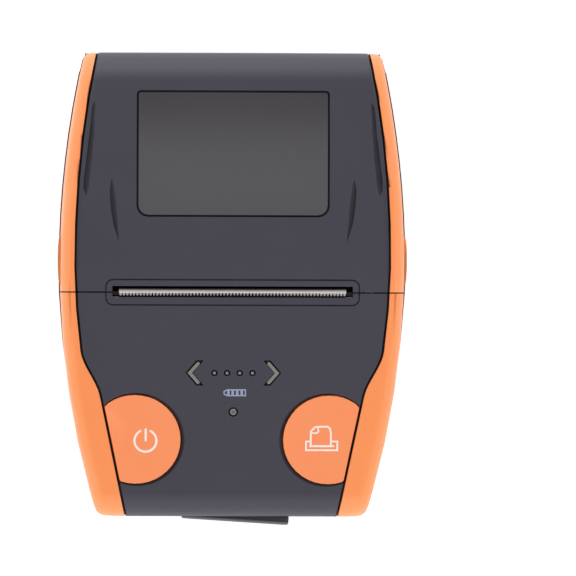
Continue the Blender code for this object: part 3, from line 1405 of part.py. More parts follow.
def make_platen(looks, axes):
    y, z = PLATEN_Y, PLATEN_Z
    shaft = cylinder("platen_shaft", (-ARM_HALF, y, z), (ARM_HALF, y, z), SHAFT_RADIUS, sides=BARREL_SIDES)
    finish(shaft, looks["steel"], axes["platen"])
    rubber = cylinder("platen_rubber", (-PLATEN_HALF, y, z), (PLATEN_HALF, y, z), PLATEN_RADIUS - GAP)
    start, end = (-PLATEN_HALF - BITE, y, z), (PLATEN_HALF + BITE, y, z)
    cut(rubber, cylinder("rubber_bore", start, end, SHAFT_RADIUS + GAP, sides=BARREL_SIDES))
    finish(rubber, looks["rubber"], axes["platen"])
    for side, word in ((-1, "left"), (1, "right")):
        near = side * (FRAME_HALF - (BUSH_LENGTH - FRAME_PLATE) / 2)
        far = near + side * BUSH_LENGTH
        bush = cylinder(f"platen_bush_{word}", (near, y, z), (far, y, z), BUSH_RADIUS, sides=BARREL_SIDES)
        start, end = (near - side * BITE, y, z), (far + side * BITE, y, z)
        cut(bush, cylinder(f"bush_bore_{word}", start, end, SHAFT_RADIUS + GAP, sides=BARREL_SIDES))
        finish(bush, looks["brass"], axes["lid"])


# Mechanism frame, head and motor

def frame_plate_outline(low):
    return [
        (FRAME_FRONT_Y, low),
        (FRAME_REAR_Y, low),
        (FRAME_REAR_Y, PLATEN_Z + BUSH_RADIUS),
        (FRAME_REAR_Y - WALL / 2, FRAME_TOP),
        (FRAME_FRONT_Y, FRAME_TOP),
    ]


def make_frame(looks):
    """Two side plates with open notches for the platen's bushes, joined by a cross bar."""
    low = FLOOR + GAP
    near, far = FRAME_HALF, FRAME_HALF + FRAME_PLATE
    reach = near + BITE / 2
    frame = box(
        "mechanism_frame",
        (-reach, FRAME_FRONT_Y, SINK_BOTTOM),
        (reach, FRAME_FRONT_Y + FRAME_PLATE, FRAME_TOP),
    )
    swing = math.atan2(PLATEN_Z - HINGE_Z, HINGE_Y - PLATEN_Y)
    for side, word in ((-1, "left"), (1, "right")):
        start, end = (near, far) if side > 0 else (-far, -near)
        wall = plate(f"frame_plate_{word}", [frame_plate_outline(low)], start, end, along_x(0, 0))
        notch = cylinder(
            f"frame_notch_{word}",
            (start - BITE, PLATEN_Y, PLATEN_Z),
            (end + BITE, PLATEN_Y, PLATEN_Z),
            BUSH_RADIUS + GAP,
            sides=BARREL_SIDES,
        )
        throat = BUSH_RADIUS + GAP
        lead = (FRAME_TOP - PLATEN_Z + BITE) * math.tan(swing)
        mouth = plate(
            f"frame_mouth_{word}",
            [
                [
                    (PLATEN_Y - throat, PLATEN_Z),
                    (PLATEN_Y + throat, PLATEN_Z),
                    (PLATEN_Y + throat + lead, FRAME_TOP + BITE),
                    (PLATEN_Y - throat, FRAME_TOP + BITE),
                ]
            ],
            start - BITE,
            end + BITE,
            along_x(0, 0),
        )
        cut(wall, notch, mouth)
        join(frame, wall)
    stud_end = GEAR_X + GEAR_WIDTH + GAP
    start, end = (near + FRAME_PLATE / 2, IDLER_Y, IDLER_Z), (stud_end, IDLER_Y, IDLER_Z)
    stud = cylinder("idler_stud", start, end, STUD_RADIUS, sides=SMALL_SIDES)
    end = (GEAR_X - GAP, IDLER_Y, IDLER_Z)
    collar = cylinder("idler_collar", start, end, 2 * STUD_RADIUS, sides=SMALL_SIDES)
    join(frame, stud, collar)
    start, end = (near - BITE, PINION_Y, PINION_Z), (far + BITE, PINION_Y, PINION_Z)
    cut(frame, cylinder("spigot_hole", start, end, MOTOR_SPIGOT + GAP, sides=BARREL_SIDES))
    finish(frame, looks["frame_steel"])


def make_motor(looks):
    face = FRAME_HALF - GAP
    y, z = PINION_Y, PINION_Z
    motor = cylinder("motor_body", (face - MOTOR_LENGTH, y, z), (face, y, z), MOTOR_RADIUS)
    ear = plate(
        "motor_ears",
        [rounded(2 * MOTOR_EAR, MOTOR_SPIGOT * 2, (MOTOR_SPIGOT * EAR_ROUND_SHARE,) * 4)],
        face - FRAME_PLATE / 2,
        face,
        along_x(y, z) @ Matrix.Rotation(EAR_TURN, 4, "Z"),
    )
    start, end = (face - BITE, y, z), (face + FRAME_PLATE, y, z)
    spigot = cylinder("motor_spigot", start, end, MOTOR_SPIGOT, sides=BARREL_SIDES)
    join(motor, ear, spigot)
    bore_start = face - MOTOR_LENGTH / 3 - GAP
    cut(
        motor,
        cylinder("motor_bore", (bore_start, y, z), (face + WALL, y, z), MOTOR_SHAFT + GAP, sides=SMALL_SIDES),
    )
    finish(motor, looks["plated_steel"])


HEAD_FACE_Y = NIP_Y - GAP
SINK_FACE_Y = HEAD_FACE_Y - HEAD_THICKNESS - GAP
SINK_BACK_Y = SINK_FACE_Y - SINK_THICKNESS


def make_head(looks):
    half = SLOT_HALF
    head = box(
        "print_head", (-half, HEAD_FACE_Y - HEAD_THICKNESS, HEAD_BOTTOM), (half, HEAD_FACE_Y, FRAME_TOP)
    )
    finish(head, looks["ceramic"])
    sink_half = FRAME_HALF - GAP
    sink = box("head_heatsink", (-sink_half, SINK_BACK_Y, SINK_BOTTOM), (sink_half, SINK_FACE_Y, FRAME_TOP))
    finish(sink, looks["aluminium"])
    start = SINK_BACK_Y - GAP - SPRING_WIRE
    end = FRAME_FRONT_Y + FRAME_PLATE + GAP + SPRING_WIRE
    for side, word in ((-1, "left"), (1, "right")):
        points = []
        steps = int(SPRING_TURNS * SPRING_STEPS)
        for step in range(steps + 1):
            angle = 2 * math.pi * SPRING_TURNS * step / steps
            points.append(
                (
                    side * SPRING_X + SPRING_RADIUS * math.cos(angle),
                    start + (end - start) * step / steps,
                    SPRING_Z + SPRING_RADIUS * math.sin(angle),
                )
            )
        spring = tube(f"head_spring_{word}", points, SPRING_WIRE)
        finish(spring, looks["steel"])


def make_blade(looks):
    """Folded steel: a foot on the frame, an upright, and a leaning face with a saw-toothed edge."""
    rise = BLADE_FACE * math.cos(BLADE_LEAN)
    foot_low = FRAME_TOP + GAP
    tip_z = top_height(SLOT_FRONT_Y) - GAP
    bend_z = tip_z - rise
    sheet = BLADE_SHEET
    lean_back = BLADE_FACE * math.sin(BLADE_LEAN) + sheet / 2 * (1 + math.cos(BLADE_LEAN))
    bend_y = SLOT_FRONT_Y + GAP + lean_back
    upright = box(
        "tear_blade", (-BLADE_HALF, bend_y - sheet, foot_low), (BLADE_HALF, bend_y, bend_z)
    )
    foot = box(
        "blade_foot", (-BLADE_HALF, FRAME_FRONT_Y, foot_low), (BLADE_HALF, bend_y, foot_low + sheet)
    )
    count = int(2 * BLADE_HALF / BLADE_TOOTH_PITCH)
    pitch = 2 * BLADE_HALF / count
    edge = []
    for index in range(count):
        start = BLADE_HALF - pitch * index
        edge.append((start, BLADE_FACE - BLADE_TOOTH_DEPTH))
        edge.append((start - pitch / 2, BLADE_FACE))
    edge.append((-BLADE_HALF, BLADE_FACE - BLADE_TOOTH_DEPTH))
    overlap = sheet * BLADE_ROOT_SHARE
    outline = [(-BLADE_HALF, -overlap), (BLADE_HALF, -overlap)] + edge
    lean = Matrix.Translation((0, bend_y - sheet / 2, bend_z)) @ Matrix.Rotation(
        math.pi / 2 + BLADE_LEAN, 4, "X"
    )
    face = plate("blade_face", [outline], -sheet / 2, sheet / 2, lean)
    join(upright, foot, face)
    finish(upright, looks["steel"])


def make_hinge_pin(looks):
    reach = HINGE_BARREL_END - BITE - GAP
    start, end = (-reach, HINGE_Y, HINGE_Z), (reach, HINGE_Y, HINGE_Z)
    pin = cylinder("hinge_pin", start, end, HINGE_PIN, sides=SMALL_SIDES)
    finish(pin, looks["steel"])


def make_looks():
    return {
        "housing": material("housing_plastic", (0.080, 0.076, 0.098), 0.45),
        "trim": material("orange_plastic", (1.0, 0.328, 0.114), 0.42),
        "button": material("button_plastic", (1.0, 0.296, 0.127), 0.42),
        "window": material("smoked_window", (0.095, 0.089, 0.098), 0.18, 0.0, 0.3),
        "light_pipe": material("light_pipe", (0.30, 0.30, 0.275), 0.3),
        "steel": material("steel", (0.62, 0.60, 0.56), 0.3, 1.0),
        "frame_steel": material("frame_steel", (0.50, 0.51, 0.52), 0.38, 1.0),
        "plated_steel": material("plated_steel", (0.66, 0.66, 0.64), 0.25, 1.0),
        "aluminium": material("aluminium", (0.60, 0.60, 0.61), 0.42, 1.0),
        "brass": material("brass", (0.70, 0.50, 0.22), 0.3, 1.0),
        "gear_plastic": material("gear_plastic", (0.78, 0.77, 0.73), 0.45),
        "rubber": material("rubber", (0.025, 0.025, 0.028), 0.75),
        "black_plastic": material("black_plastic", (0.03, 0.03, 0.034), 0.5),
        "circuit_board": material("circuit_board", (0.02, 0.14, 0.06), 0.45),
        "battery_wrap": material("battery_wrap", (0.02, 0.10, 0.30), 0.4),
        "ceramic": material("ceramic", (0.75, 0.74, 0.70), 0.3),
    }


def groove_form():
    """A thin line round the slot, cut the same depth into the lid and the front housing."""
    outer = rounded(GROOVE_WIDTH, GROOVE_LENGTH, (GROOVE_CORNER,) * 4, (0, GROOVE_Y))
    less = 2 * GROOVE_LINE
    inner = rounded(
        GROOVE_WIDTH - less, GROOVE_LENGTH - less, (GROOVE_CORNER - GROOVE_LINE,) * 4, (0, GROOVE_Y)
    )
    groove = plate("slot_groove", [outer, inner], SEAM_HEIGHT, TOP_LIMIT)
    cut(groove, envelope("groove_floor", 0, GROOVE_DEPTH, 0, 0))
    return groove


clear_scene()
ROOT = bpy.data.objects.new("body_frame", None)
PARTS.objects.link(ROOT)
COVER_SWING = (COVER_LENGTH - COVER_BARREL) * math.sin(COVER_AJAR)
COVER_REACH = COVER_SWING - COVER_BARREL * (1 - math.cos(COVER_AJAR))
ROOT.location = (0, COVER_REACH / 2, 0)


def build():
    looks = make_looks()
    forms = make_shared_forms()
    forms["groove"] = groove_form()
    low, high = (-SLOT_HALF, PARTING_Y - BITE, SEAM_HEIGHT), (SLOT_HALF, SLOT_REAR_Y, TOP_LIMIT)
    forms["lid_slot"] = box("lid_slot", low, high)
    low, high = (-SLOT_HALF, SLOT_FRONT_Y, SEAM_HEIGHT), (SLOT_HALF, PARTING_Y + BITE, TOP_LIMIT)
    forms["base_slot"] = box("base_slot", low, high)
    tilt = Matrix.Rotation(PANEL_SLOPE, 4, "X")
    power_place = PANEL @ Vector((-BUTTON_X, panel_y(BUTTON_Y), 0))
    feed_place = PANEL @ Vector((BUTTON_X, panel_y(BUTTON_Y), 0))
    ajar = Matrix.Rotation(-COVER_AJAR, 4, "Z")
    axes = {
        "lid": empty("lid_axis", (0, HINGE_Y, HINGE_Z)),
        "platen": empty("platen_axis", (0, PLATEN_Y, PLATEN_Z)),
        "idler": empty("idler_axis", (GEAR_X, IDLER_Y, IDLER_Z)),
        "pinion": empty("pinion_axis", (GEAR_X, PINION_Y, PINION_Z)),
        "power": empty("power_axis", power_place, tilt),
        "feed": empty("feed_axis", feed_place, tilt),
        "door": empty("door_axis", (0, DOOR_HINGE_Y, DOOR_HINGE_Z)),
        "cover": empty("cover_axis", (COVER_AXIS_X, COVER_AXIS_Y, COVER_Z), ajar),
    }
    make_lower_housing(looks, forms)
    make_upper_housing(looks, forms)
    make_lid(looks, axes["lid"], forms)
    for side, word in ((-1, "left"), (1, "right")):
        make_trim(f"base_trim_{word}", side, looks["trim"], None, False, forms)
        make_trim(f"lid_trim_{word}", side, looks["trim"], axes["lid"], True, forms)
    make_hinge_pin(looks)
    make_bucket(looks)
    make_platen(looks, axes)
    make_gears(looks, axes)
    make_frame(looks)
    make_motor(looks)
    make_head(looks)
    make_blade(looks)
    make_key_board(looks)
    make_light_guides(looks)
    make_button("power_button", -1, looks["button"], axes["power"])
    make_button("feed_button", 1, looks["button"], axes["feed"])
    make_switch("power_switch", -1, looks, axes["power"])
    make_switch("feed_switch", 1, looks, axes["feed"])
    make_main_board(looks)
    make_sockets(looks)
    make_port_cover(looks, axes["cover"])
    make_battery(looks)
    make_battery_door(looks, axes["door"])


def parent_cutters():
    """The cutters move with the body, so that each stays where it cuts."""
    for obj in CUTTERS.objects:
        obj.parent = ROOT


build()
parent_cutters()
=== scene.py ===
"""Looks of the portable receipt printer: finishes, fine forms, printed signs, floor, light and camera.

Metres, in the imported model's frame: +Y is the lid's hinge, -Y the user's side, +Z up. Tables of places are in
millimetres. Those of the signs count from the body's own middle, which lies BODY_SHIFT behind the frame's.
"""

import json
import math

import bmesh
import bpy
import numpy as np
from mathutils import Matrix, Quaternion, Vector
from mathutils.bvhtree import BVHTree
from mathutils.kdtree import KDTree


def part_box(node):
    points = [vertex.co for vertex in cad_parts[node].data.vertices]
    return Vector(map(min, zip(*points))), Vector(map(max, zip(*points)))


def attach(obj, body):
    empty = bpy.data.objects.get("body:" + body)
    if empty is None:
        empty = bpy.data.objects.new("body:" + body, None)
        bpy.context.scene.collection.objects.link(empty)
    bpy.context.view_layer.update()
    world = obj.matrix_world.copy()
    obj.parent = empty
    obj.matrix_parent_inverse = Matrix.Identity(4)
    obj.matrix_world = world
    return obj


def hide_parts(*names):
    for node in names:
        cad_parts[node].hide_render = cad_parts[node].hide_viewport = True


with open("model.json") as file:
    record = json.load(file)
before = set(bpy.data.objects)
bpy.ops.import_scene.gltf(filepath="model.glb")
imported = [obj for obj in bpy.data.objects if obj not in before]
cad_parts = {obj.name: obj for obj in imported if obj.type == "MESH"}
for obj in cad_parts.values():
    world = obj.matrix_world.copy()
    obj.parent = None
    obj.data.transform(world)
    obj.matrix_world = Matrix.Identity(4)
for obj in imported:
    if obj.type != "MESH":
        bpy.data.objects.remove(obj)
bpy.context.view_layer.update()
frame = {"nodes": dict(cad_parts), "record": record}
NODES = frame["nodes"]
MM = 0.001
TINY = 1e-12

# The body's outer form, from the same named values as the source
BODY_SHIFT = 0.0008579
BODY_WIDTH = 0.0850
BODY_LENGTH = 0.1133
CROWN_HEIGHT = 0.0460
CROWN_Y = 0.0246
WIDEST_Y = 0.0045
REAR_SIDE_RADIUS = 0.235
FRONT_SIDE_RADIUS = 0.204
LID_TOP_RADIUS = 0.090
CROSS_CROWN_RADIUS = 0.600
FRONT_EDGE_HEIGHT = 0.0300
FRONT_ROLL = 0.0060
REAR_ROLL = 0.0070
CORNER_RADIUS = 0.0015
SIDE_EDGE_RADIUS = 0.0050
BOTTOM_EDGE_RADIUS = 0.0030
BOTTOM_TAPER = 0.0012
TOP_TAPER = 0.0008
SEAM_HEIGHT = 0.0240
PARTING_Y = -0.0018

# The grid over that form. Its rows crowd towards the ends, where the form rolls away. Half a ring is shared
# out among the foot's round, the side, the edge's round and the top. A round takes at most its share of a
# low end's height
FORM_ROWS = 300
FORM_AROUND = 400
ROW_EASE = 0.85
FOOT_SHARE, SIDE_SHARE, EDGE_SHARE, TOP_SHARE = 0.12, 0.33, 0.25, 0.30
MOST_FOOT = 0.3
MOST_EDGE = 0.4


def unit(vectors):
    """Each vector divided by its own length."""
    return vectors / np.maximum(np.linalg.norm(vectors, axis=-1, keepdims=True), TINY)


def arc_sag(distance, radius):
    """How far a circle has dropped from its crown at this distance: R - sqrt(R^2 - d^2)."""
    return radius - np.sqrt(np.maximum(radius * radius - distance * distance, 0.0))


def round_over(distance, radius):
    """How far a rounded end has cut in, this far from its tip: the sag of what is left of the round."""
    return arc_sag(np.maximum(radius - distance, 0.0), radius)


def half_width(y):
    """Half the body's plan width: an arc on each side of the widest place."""
    radius = np.where(y > WIDEST_Y, REAR_SIDE_RADIUS, FRONT_SIDE_RADIUS)
    return BODY_WIDTH / 2 - arc_sag(y - WIDEST_Y, radius)


def lid_height(y):
    """The lid's crown line: an arc that drops from its highest place."""
    return CROWN_HEIGHT - arc_sag(y - CROWN_Y, LID_TOP_RADIUS)


PARTING_HEIGHT = float(lid_height(np.array(PARTING_Y)))
PANEL_FALL = (PARTING_HEIGHT - FRONT_EDGE_HEIGHT) / (PARTING_Y + BODY_LENGTH / 2)


def top_height(y):
    """The middle line of the top: the lid's arc behind the parting line, a straight fall in front of it."""
    return np.where(y >= PARTING_Y, lid_height(y), PARTING_HEIGHT - (PARTING_Y - y) * PANEL_FALL)


def form_height(x, y):
    """Height of the body's top over a place: the top's middle line less the sag of its crown across."""
    return top_height(y) - arc_sag(x, CROSS_CROWN_RADIUS)


def width_at(half, z):
    """Half the width at this height: the seam is widest, and it draws in below and above."""
    below = np.maximum(SEAM_HEIGHT - z, 0) / SEAM_HEIGHT
    above = np.maximum(z - SEAM_HEIGHT, 0) / (CROWN_HEIGHT - SEAM_HEIGHT)
    return half - BOTTOM_TAPER * below - TOP_TAPER * above


def body_surface():
    """The body's outer form as a grid: v runs front to rear, u from the foot up one side and over to the
    other. Each ring is a foot round, a side, an edge round and a slight crown, and the rings shrink as the
    ends roll."""
    front, rear = -BODY_LENGTH / 2, BODY_LENGTH / 2
    v = np.linspace(0.0, 1.0, FORM_ROWS)
    eased = (v - np.sin(2 * np.pi * v) / (2 * np.pi) * ROW_EASE)
    y = front + (rear - front) * eased
    near = np.minimum(y - front, rear - y)
    roll = np.where(y < PARTING_Y, FRONT_ROLL, REAR_ROLL)
    half = half_width(y) - round_over(near, CORNER_RADIUS)
    low = round_over(near, BOTTOM_EDGE_RADIUS)
    high = top_height(y) - round_over(near, roll)
    edge = np.minimum(SIDE_EDGE_RADIUS, (high - low) * MOST_EDGE)
    foot = np.minimum(BOTTOM_EDGE_RADIUS, (high - low) * MOST_FOOT)
    shoulder = high - arc_sag(half - edge, CROSS_CROWN_RADIUS)
    half, low, high, edge, foot, shoulder = (a[:, None] for a in (half, low, high, edge, foot, shoulder))
    share = np.linspace(0.0, 1.0, FORM_AROUND // 2)[None, :]
    edge_start = FOOT_SHARE + SIDE_SHARE
    top_start = edge_start + EDGE_SHARE
    foot_angle = np.clip(share / FOOT_SHARE, 0, 1) * np.pi / 2
    side_part = np.clip((share - FOOT_SHARE) / SIDE_SHARE, 0, 1)
    edge_angle = np.clip((share - edge_start) / EDGE_SHARE, 0, 1) * np.pi / 2
    top_part = np.clip((share - top_start) / TOP_SHARE, 0, 1)
    side_top = shoulder - edge
    z_foot = low + foot - foot * np.cos(foot_angle)
    x_foot = width_at(half, low + foot) - foot + foot * np.sin(foot_angle)
    z_side = low + foot + (side_top - low - foot) * side_part
    x_side = width_at(half, z_side)
    x_edge = width_at(half, side_top) - edge + edge * np.cos(edge_angle)
    z_edge = side_top + edge * np.sin(edge_angle)
    x_top = (width_at(half, side_top) - edge) * (1 - top_part)
    z_top = high - arc_sag(x_top, CROSS_CROWN_RADIUS)
    parts = [share < FOOT_SHARE, share < edge_start, share < top_start]
    x = np.select(parts, [x_foot, x_side, x_edge], x_top)
    z = np.select(parts, [z_foot, z_side, z_edge], z_top)
    y = np.repeat(y[:, None] + BODY_SHIFT, share.shape[1], axis=1)
    right = np.stack([x, y, z], axis=-1)
    left = right[:, -2::-1] * np.array([-1.0, 1.0, 1.0])
    return np.concatenate([right, left], axis=1)


def grid_normals(points):
    """Each point's normal: the cross product of the grid's two slopes there."""
    return unit(np.cross(np.gradient(points, axis=0), np.gradient(points, axis=1)))


# Finishes

# The Mix node's sockets for colours, which share their names with others: the two that go in, and the blend
COLOUR_A, COLOUR_B, BLENDED = 6, 7, 2
# Pigment varies over about a centimetre, and roughness with the grain
PIGMENT_MM = 14
ROUGHNESS_SPREAD = 0.06
GRAIN_STRENGTH = 0.35
# What edges are rounded by in the shading: a large moulding's, a small one's, a printed or very thin piece's
# and a metal one's
MOULDED_EDGE_MM = 0.18
CRISP_EDGE_MM = 0.05
PRINTED_EDGE_MM = 0.02
METAL_EDGE_MM = 0.08
# The marks on metal. The real ones are about 0.02 mm wide, too fine to show, so they are drawn coarser. They
# add this much to its roughness, and take this much from it
MARK_MM = 0.12
MARK_DEPTH_MM = 0.01
MARK_STRENGTH = 0.2
BRUSHED_STRETCH = 0.03
MARKS_DULL, MARKS_POLISH = 0.10, 0.08
# The ripple that a moulded sheet keeps, the roughness that wear leaves it, and polycarbonate's own refraction
RIPPLE_MM = 25
RIPPLE_DEPTH_MM = 0.05
RIPPLE_STRENGTH = 0.2
WINDOW_ROUGHNESS = 0.32
POLYCARBONATE_IOR = 1.585


def colour(code):
    """An sRGB hex value as linear RGBA, by the sRGB standard's curve."""
    parts = np.array([int(code[i:i + 2], 16) for i in (1, 3, 5)]) / 255
    linear = np.where(parts <= 0.04045, parts / 12.92, ((parts + 0.055) / 1.055) ** 2.4)
    return (*linear.tolist(), 1.0)


def node(tree, kind, links=None, **settings):
    """Adds a node, sets its properties or sockets by name, and links sockets given as name: output."""
    made = tree.nodes.new(kind)
    for key, value in settings.items():
        if hasattr(made, key) and key not in made.inputs:
            setattr(made, key, value)
        else:
            made.inputs[key.replace("_", " ")].default_value = value
    for key, output in (links or {}).items():
        tree.links.new(output, made.inputs[key])
    return made


def new_material(name):
    """A new material, its node tree and its shader."""
    made = bpy.data.materials.new(name)
    made.use_nodes = True
    tree = made.node_tree
    return made, tree, tree.nodes["Principled BSDF"]


def shader_values(shader, **values):
    """Sets the shader's sockets by name."""
    for key, value in values.items():
        shader.inputs[key.replace("_", " ")].default_value = value


def grained(name, deep, pale, roughness, grain_mm, grain_depth_mm, edge_mm=MOULDED_EDGE_MM):
    """A coloured finish with the fine even grain of its tool, print or glaze. Its pigment goes from deep to
    pale over about a centimetre, and its roughness and height follow the grain."""
    made, tree, shader = new_material(name)
    place = node(tree, "ShaderNodeTexCoord").outputs["Object"]
    cloud = node(tree, "ShaderNodeTexNoise", {"Vector": place}, Scale=1 / (PIGMENT_MM * MM), Detail=2.0)
    blend = node(tree, "ShaderNodeMix", {"Factor": cloud.outputs["Fac"]}, data_type="RGBA")
    blend.inputs[COLOUR_A].default_value = colour(deep)
    blend.inputs[COLOUR_B].default_value = colour(pale)
    tree.links.new(blend.outputs[BLENDED], shader.inputs["Base Color"])
    grain = node(
        tree,
        "ShaderNodeTexNoise",
        {"Vector": place},
        Scale=1 / (grain_mm * MM),
        Detail=3.0,
        Roughness=0.6,
    )
    rough = node(
        tree,
        "ShaderNodeMapRange",
        {"Value": grain.outputs["Fac"]},
        To_Min=roughness - ROUGHNESS_SPREAD,
        To_Max=roughness + ROUGHNESS_SPREAD,
    )
    tree.links.new(rough.outputs["Result"], shader.inputs["Roughness"])
    edge = node(tree, "ShaderNodeBevel", samples=6, Radius=edge_mm * MM)
    bump = node(
        tree,
        "ShaderNodeBump",
        {"Height": grain.outputs["Fac"], "Normal": edge.outputs["Normal"]},
        Strength=GRAIN_STRENGTH,
        Distance=grain_depth_mm * MM,
    )
    tree.links.new(bump.outputs["Normal"], shader.inputs["Normal"])
    return made


def metal(name, code, roughness, brushed_along=None):
    """Bare metal: its own colour and mirror-like gloss, dulled by fine marks that run one way where it is
    brushed."""
    made, tree, shader = new_material(name)
    shader_values(shader, Metallic=1.0, Base_Color=colour(code))
    place = node(tree, "ShaderNodeTexCoord").outputs["Object"]
    scale = [1.0, 1.0, 1.0]
    if brushed_along is not None:
        scale[brushed_along] = BRUSHED_STRETCH
    stretch = node(tree, "ShaderNodeMapping", {"Vector": place}, Scale=scale)
    marks = node(
        tree,
        "ShaderNodeTexNoise",
        {"Vector": stretch.outputs["Vector"]},
        Scale=1 / (MARK_MM * MM),
        Detail=4.0,
    )
    rough = node(
        tree,
        "ShaderNodeMapRange",
        {"Value": marks.outputs["Fac"]},
        To_Min=roughness - MARKS_POLISH,
        To_Max=roughness + MARKS_DULL,
    )
    tree.links.new(rough.outputs["Result"], shader.inputs["Roughness"])
    edge = node(tree, "ShaderNodeBevel", samples=4, Radius=METAL_EDGE_MM * MM)
    bump = node(
        tree,
        "ShaderNodeBump",
        {"Height": marks.outputs["Fac"], "Normal": edge.outputs["Normal"]},
        Strength=MARK_STRENGTH,
        Distance=MARK_DEPTH_MM * MM,
    )
    tree.links.new(bump.outputs["Normal"], shader.inputs["Normal"])
    return made


def smoked_sheet(name, deep, pale):
    """A smoked sheet, nearly black seen from outside: its tint goes from deep to pale with a moulded
    sheet's faint ripple, and its height follows the same ripple."""
    made, tree, shader = new_material(name)
    shader_values(shader, Roughness=WINDOW_ROUGHNESS, IOR=POLYCARBONATE_IOR, Specular_IOR_Level=0.5)
    place = node(tree, "ShaderNodeTexCoord").outputs["Object"]
    ripple = node(tree, "ShaderNodeTexNoise", {"Vector": place}, Scale=1 / (RIPPLE_MM * MM), Detail=1.0)
    blend = node(tree, "ShaderNodeMix", {"Factor": ripple.outputs["Fac"]}, data_type="RGBA")
    blend.inputs[COLOUR_A].default_value = colour(deep)
    blend.inputs[COLOUR_B].default_value = colour(pale)
    tree.links.new(blend.outputs[BLENDED], shader.inputs["Base Color"])
    bump = node(
        tree,
        "ShaderNodeBump",
        {"Height": ripple.outputs["Fac"]},
        Strength=RIPPLE_STRENGTH,
        Distance=RIPPLE_DEPTH_MM * MM,
    )
    tree.links.new(bump.outputs["Normal"], shader.inputs["Normal"])
    return made


# A grained finish is given as its deep and pale colour, its roughness, and its grain's width and depth in
# millimetres. Real grains are 0.02 to 0.1 mm wide, too fine to show, so they are drawn coarser. A metal is
# given as its colour, its roughness and the axis that its marks run along: 0 is X and 2 is Z
LOOKS = {
    # Charcoal ABS from a spark-eroded tool: dull, faintly violet, with a soft sheen on its rolled edges
    "housing": grained("charcoal_abs_spark_grain", "#32303D", "#363441", 0.55, 0.22, 0.02),
    # Orange ABS, moulded satin: warm, even and a little glossy
    "trim": grained("orange_abs_satin", "#FF904E", "#FF9756", 0.45, 0.30, 0.008),
    # The keys' orange ABS, moulded satin too: a shade pinker than the trims
    "button": grained("orange_abs_key", "#FF9058", "#FF965E", 0.45, 0.30, 0.008),
    # Smoked polycarbonate, moulded and polished: nearly black, with a soft wide reflection
    "window": smoked_sheet("smoked_polycarbonate", "#2F2C32", "#353238"),
    # Acrylic, moulded with a frosted face: greyish and unlit
    "light_pipe": grained("frosted_light_pipe", "#7C7874", "#88847E", 0.35, 0.20, 0.004, CRISP_EDGE_MM),
    # Stainless spring steel, rolled: bright, with marks along the strip
    "steel": metal("stainless_spring_steel", "#C2BCB8", 0.32, 0),
    # Steel sheet, folded: drawn dark as painted shade where it shows through the slot's ends, with a faint
    # upright sheen
    "frame_steel": metal("steel_drawn_dark_as_slot_shade", "#2E2E31", 0.45, 2),
    # Steel, nickel plated: warm white and glossy
    "plated_steel": metal("nickel_plated_steel", "#C8C6C0", 0.25, 0),
    # Aluminium, extruded: pale grey and satin along its length
    "aluminium": metal("extruded_aluminium", "#C4C5C7", 0.42, 0),
    # Brass, turned: yellow and fairly bright
    "brass": metal("turned_brass", "#C9A45C", 0.30),
    # Natural acetal, moulded: milky white and slick
    "gear_plastic": grained("natural_acetal", "#DAD8D0", "#E2E0D8", 0.42, 0.40, 0.004, CRISP_EDGE_MM),
    # Black rubber, moulded: matt, with a soft coarse grain
    "rubber": grained("moulded_rubber", "#2C2B30", "#37363B", 0.72, 0.35, 0.06),
    # Black nylon, moulded: dull and even
    "black_plastic": grained("black_nylon", "#1C1C1E", "#242426", 0.52, 0.25, 0.012),
    # Green solder mask, cured on glass fibre: smooth and glossy
    "circuit_board": grained("green_solder_mask", "#0F4A26", "#14552C", 0.35, 0.50, 0.004, 0.03),
    # Blue PVC film, shrunk round the cells: glossy
    "battery_wrap": grained("blue_shrink_wrap", "#1B4A86", "#20528F", 0.30, 0.60, 0.006, 0.1),
    # Alumina, fired and glazed: off-white and glassy
    "ceramic": grained("glazed_alumina", "#D8D6CE", "#E2E0DA", 0.22, 0.60, 0.002, CRISP_EDGE_MM),
}

# The same charcoal ABS where the tool was only spark eroded, in hollows, dishes and grooves: its coarse grain
# makes it rougher with no sheen, and its colour is darker as painted shade for the shade that falls in them
PAINTED_RECESS_SHADE = grained("charcoal_abs_painted_recess_shade", "#2A2830", "#2F2D36", 0.80, 0.30, 0.04, CRISP_EDGE_MM)
# Ink, pad printed: matt and a little uneven
WHITE_INK = grained("white_pad_print", "#FBE6DE", "#FFF2EC", 0.55, 0.12, 0.002, PRINTED_EDGE_MM)
BLUE_INK = grained("pale_blue_pad_print", "#8F96B4", "#9FA6C2", 0.55, 0.12, 0.002, PRINTED_EDGE_MM)
# The print head's alumina under its fired glaze and overcoat: dark brown, and dulled by the paper's dust
HEAD_GLAZE = grained("overcoated_alumina", "#1A1615", "#221D1B", 0.46, 0.60, 0.002, CRISP_EDGE_MM)
# The status light's smoked acrylic, moulded: grey and fairly glossy
SMOKED_LENS = grained("smoked_lens", "#5A5861", "#66646D", 0.30, 0.20, 0.004, CRISP_EDGE_MM)
# Rubber of the port cover's lip, drawn greyer than the cover: a painted highlight along the bead's rounded top
LIP_PAINTED_HIGHLIGHT = grained("rubber_lip_painted_highlight", "#6E6C73", "#7E7C83", 0.70, 0.35, 0.06, CRISP_EDGE_MM)
# The light guide drawn black: painted shade for the dark gaps between the signs and the panel
GUIDE_PAINTED_SHADE = grained("black_guide_painted_shade", "#141316", "#1A191C", 0.60, 0.20, 0.004, PRINTED_EDGE_MM)
# The flat cable's polyester film, rolled: white and smooth
CABLE_FILM = grained("white_polyester_film", "#CFCFCB", "#DADAD6", 0.40, 0.40, 0.004, PRINTED_EDGE_MM)

# Smooth copies of the solids

SLOT_OF = {row["node"]: row["material_slot"] for row in frame["record"]["subparts"]}
BODY_OF = {name: body for body, names in frame["record"]["behaviour"]["bodies"].items() for name in names}
TRIMS = ("base_trim_left", "base_trim_right", "lid_trim_left", "lid_trim_right")
FORM_NODES = ("lower_housing", "upper_housing", "lid_shell", "window", "power_button", "feed_button", *TRIMS)
RECESSED_NODES = ("lid_shell", "upper_housing")
NEXT_TO_TRIMS = ("lid_shell", "upper_housing", "power_button", "feed_button")
